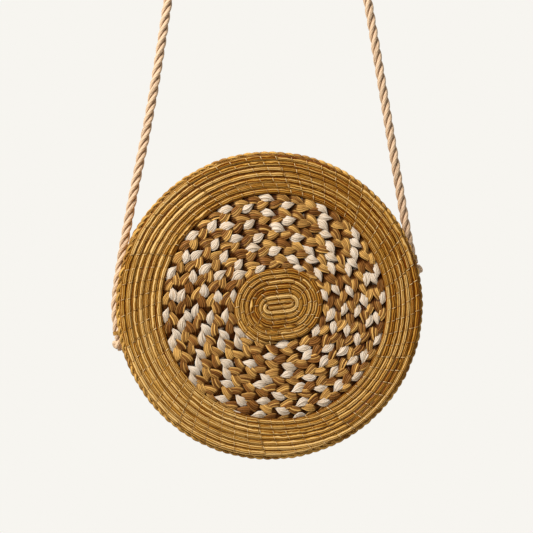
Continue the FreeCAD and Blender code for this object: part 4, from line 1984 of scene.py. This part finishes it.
@dataclass
class Strap:
    """The rope strap with the straw loops that hold its ends and the knots below them."""

    diameter: float = 6.3 * MM
    wall_radius: float = 99.0 * MM
    # The ends are given in degrees up the wall and millimetres out of it, and the arch in
    # millimetres right of the bag's centre and above it.
    left_end: Places = ((-12.8, 3.8), (-7.13, 3.95), (4.2, 3.95), (36.0, 15.05))
    arch: Places = (
        (-76.9, 140.0),
        (-61.3, 245.6),
        (-36.2, 273.6),
        (0.0, 284.0),
        (36.2, 273.6),
        (62.6, 246.0),
        (72.5, 190.0),
    )
    right_end: Places = ((36.0, 16.0), (20.5, 6.3), (15.5, 5.9))
    fold_reach: float = 9.0 * MM
    knot_size: float = 0.82 * MM
    knot_strand: float = 3.0 * MM
    knot_step: float = 0.5 * MM
    knot_out: float = 1.4 * MM
    knot_samples: int = 73
    stub_length: float = 8.0 * MM
    stub_strand: float = 2.4 * MM
    stub_helix: float = 1.1 * MM
    loop_turns: float = 2.0
    loop_straw: float = 0.7 * MM
    loop_setback: float = 4.0 * MM
    loop_sink: float = 0.25 * MM
    loop_samples: int = 60
    end_points: int = 4

    def beside_wall(self, hand: int, degrees: float, out: float) -> Vector:
        """Finds a point of the rope on one side of the bag.

        Args:
            hand: The side, -1 for left or 1 for right.
            degrees: The point's angle above the level of the bag's centre.
            out: Its distance from the wall, in millimetres.

        Returns:
            The point.
        """
        angle = math.radians(degrees)
        reach = self.wall_radius + out * MM
        return BAG_CENTRE + Vector((hand * reach * math.cos(angle), 0, reach * math.sin(angle)))

    def centre_line(self) -> np.ndarray:
        """Draws the smooth curve of the rope.

        Returns:
            Its points, from the left end over the support to the right end.
        """
        route = [self.beside_wall(-1, *place) for place in self.left_end]
        route += [BAG_CENTRE + Vector((x * MM, 0, z * MM)) for x, z in self.arch]
        route += [self.beside_wall(1, *place) for place in self.right_end]
        curve = bpy.data.curves.new("rope_route", "CURVE")
        curve.dimensions = "3D"
        curve.resolution_u = 24
        spline = curve.splines.new("NURBS")
        spline.points.add(len(route) - 1)
        for point, place in zip(spline.points, route):
            point.co = (*place, 1.0)
        spline.order_u = 3
        spline.use_endpoint_u = True
        carrier = bpy.data.objects.new("rope_route", curve)
        line = points_of(bpy.data.meshes.new_from_object(carrier))
        bpy.data.objects.remove(carrier)
        return line

    def knot(self, label: str, end: Vector, heading: Vector) -> bpy.types.Object:
        """Ties the overhand knot at one end of the rope, with the stub of rope through it.

        Args:
            label: The side of the bag.
            end: The end of the rope.
            heading: The way that the rope runs out.

        Returns:
            The knot.
        """
        turn = np.linspace(0, TURN, self.knot_samples)
        trefoil = np.column_stack(
            (
                np.sin(turn) + 2 * np.sin(2 * turn),
                np.cos(turn) - 2 * np.cos(2 * turn),
                -2 * np.sin(3 * turn),
            )
        )
        wound = Growth.ROPE.value.grow(
            f"{label}_knot",
            Guide([trefoil * self.knot_size]),
            Finish.ROPE.value,
            {"Strands": 1, "Helix": 0.0, "Strand": self.knot_strand, "Step": self.knot_step},
        )
        stand = Vector(UP).rotation_difference(heading).to_matrix().to_4x4()
        out = Vector((end.x - BAG_CENTRE.x, 0, 0)).normalized()
        middle = end + heading * self.stub_length / 2 + out * self.knot_out
        wound.data.transform(Matrix.Translation(middle) @ stand)
        stub = Growth.ROPE.value.grow(
            f"{label}_stub",
            Guide([np.array([end - heading * MM, end + heading * self.stub_length])]),
            Finish.ROPE.value,
            {"Strand": self.stub_strand, "Helix": self.stub_helix},
        )
        return join(f"{label}_knot", [wound, stub])

    def loop(self, label: str, place: Vector, heading: Vector) -> bpy.types.Object:
        """Winds the straw loop that binds the rope to the wall.

        Args:
            label: The side of the bag.
            place: The rope's centre in the middle of the loop.
            heading: The way that the rope runs out.

        Returns:
            The loop.
        """
        radius, count = self.diameter / 2 - self.loop_sink, self.loop_samples
        along = np.linspace(0, self.loop_turns * TURN * radius, count)
        across = np.linspace(-0.5, 0.5, count) * self.loop_turns * self.loop_straw
        line = at_level(np.column_stack((along, across)), 0.0)
        binding = Growth.COIL.value.grow(
            f"{label}_loop",
            Guide([line], {"stitch": np.full(count, 0.5), "taper": np.ones(count)}),
            Finish.PLAIT.value,
            {
                "Straws": 2,
                "Spacing": 0.9 * MM,
                "Step": 0.9 * MM,
                "Width": 1.1 * MM,
                "Thickness": 0.7 * MM,
                "Broad": 0.0,
                "Wander": 0.2 * MM,
            },
        )
        stand = Vector((0, 1, 0)).rotation_difference(heading).to_matrix().to_4x4()
        wrap(binding, radius, Matrix.Translation(place) @ stand)
        return binding

    def build(self) -> None:
        """Builds and dresses the rope, its loops and its knots."""
        line = self.centre_line()
        rope = Growth.ROPE.value.grow("rope_strap", Guide([line]), Finish.ROPE.value, {})
        for label, run in (("left", line), ("right", line[::-1])):
            end = run[0]
            heading = Vector(end - run[self.end_points]).normalized()
            knot = self.knot(label, Vector(end), heading)
            settle(knot, "rope", "bag", f"{label}_end_knot")
            loop = self.loop(label, Vector(end) - heading * self.loop_setback, heading)
            settle(loop, "plait_straw", "bag", f"{label}_strap_loop")
        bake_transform(rope)
        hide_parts("strap_rope", "left_strap_end", "right_strap_end")


# The studio


@dataclass(frozen=True)
class Lamp:
    """A soft square lamp that looks at the bag: its place from there, its watts and its width."""

    name: str
    place: tuple[float, float, float]
    power: float
    width: float

    def build(self) -> None:
        """Hangs the lamp."""
        light = bpy.data.lights.new(self.name, "AREA")
        light.energy = self.power
        light.size = self.width
        lamp = bpy.data.objects.new(self.name, light)
        bpy.context.scene.collection.objects.link(lamp)
        lamp.location = BAG_CENTRE + Vector(self.place)
        lamp.rotation_euler = (-Vector(self.place)).to_track_quat("-Z", "Y").to_euler()


@dataclass
class Studio:
    """The camera, the lamps, the pale backdrop and the floor."""

    view_azimuth: float = math.radians(-4.5)
    view_distance: float = 1.5
    view_above_centre: float = 26 * MM
    face_depth: float = 35 * MM
    frame_at_face: float = 354.2 * MM
    backdrop: Colour = shade(247, 245, 240)
    daylight: float = 0.27
    daylight_colour: Colour = (1.0, 0.985, 0.96, 1.0)
    floor_drop: float = 0.42
    floor_radius: float = 1.2
    floor_tones: tuple[Colour, Colour] = (shade(196, 194, 189), shade(208, 206, 201))
    floor_grain: float = 400.0
    lamps: tuple[Lamp, ...] = (
        Lamp("key_lamp", (-0.99, -0.88, 1.15), 42.0, 0.48),
        Lamp("fill_lamp", (1.6, -1.4, 0.0), 1.0, 1.2),
        Lamp("back_lamp", (0.2, 0.8, 1.6), 21.0, 1.4),
    )

    def camera(self) -> None:
        """Sets the camera, level with a point just above the bag's centre."""
        lens = bpy.data.cameras.new("photo_camera")
        reach = self.view_distance - self.face_depth
        lens.angle = 2 * math.atan(self.frame_at_face / 2 / reach)
        lens.clip_start = 0.01
        camera = bpy.data.objects.new("photo_camera", lens)
        bpy.context.scene.collection.objects.link(camera)
        away = Vector((math.sin(self.view_azimuth), -math.cos(self.view_azimuth), 0))
        aim = BAG_CENTRE + Vector((0, 0, self.view_above_centre))
        camera.location = aim + away * self.view_distance
        camera.rotation_euler = (math.pi / 2, 0, self.view_azimuth)
        bpy.context.scene.camera = camera

    def sky(self) -> None:
        """Makes the light from all round, and the backdrop that camera and shiny pieces see."""
        world = bpy.data.worlds.new("studio")
        world.use_nodes = True
        bpy.context.scene.world = world
        sketch = NodeSketch(world.node_tree)
        glow = world.node_tree.nodes["Background"]
        glow.inputs["Color"].default_value = self.daylight_colour
        glow.inputs["Strength"].default_value = self.daylight
        rays = sketch.add("ShaderNodeLightPath").outputs
        camera, glossy, through = (
            Value(sketch, rays[f"Is {kind} Ray"]) for kind in ("Camera", "Glossy", "Transmission")
        )
        direct = sketch.math("MAXIMUM", sketch.math("MAXIMUM", camera, glossy), through)
        mix = sketch.add("ShaderNodeMixShader", {"Fac": direct})
        sketch.feed(mix.inputs[1], Value(sketch, glow.outputs[0]))
        seen = {"Color": self.backdrop, "Strength": 1.0}
        sketch.feed(mix.inputs[2], sketch.out("ShaderNodeBackground", seen))
        surface = world.node_tree.nodes["World Output"].inputs["Surface"]
        sketch.feed(surface, Value(sketch, mix.outputs[0]))

    def floor(self) -> None:
        """Lays a pale round floor below the bag, outside the photograph's view."""
        shape = bmesh.new()
        bmesh.ops.create_circle(shape, cap_ends=True, segments=96, radius=self.floor_radius)
        mesh = bpy.data.meshes.new("floor")
        shape.to_mesh(mesh)
        shape.free()
        mesh.transform(Matrix.Translation(BAG_CENTRE - Vector((0, 0, self.floor_drop))))
        surface = Surface("floor_paper", 0.9)
        grain = surface.noise(surface.place(), self.floor_grain)
        surface.feed(surface.inputs["Base Color"], surface.blend(grain, *self.floor_tones))
        new_piece("floor", mesh, surface.material)

    def build(self) -> None:
        """Sets the scene round the bag."""
        bpy.context.scene.view_settings.view_transform = "Standard"
        self.camera()
        self.sky()
        self.floor()
        for lamp in self.lamps:
            lamp.build()


def main() -> None:
    """Builds the bag's sub-assemblies in order, then the studio."""
    logging.basicConfig(level=logging.INFO, format="%(name)s: %(message)s")
    layout = FaceLayout()
    Strap().build()
    for face in Face:
        FaceCoils(face, layout).build()
        FaceBraid(face, layout).build()
    SideWall().build()
    Zip().build()
    Studio().build()


if __name__ == "__main__":
    main()
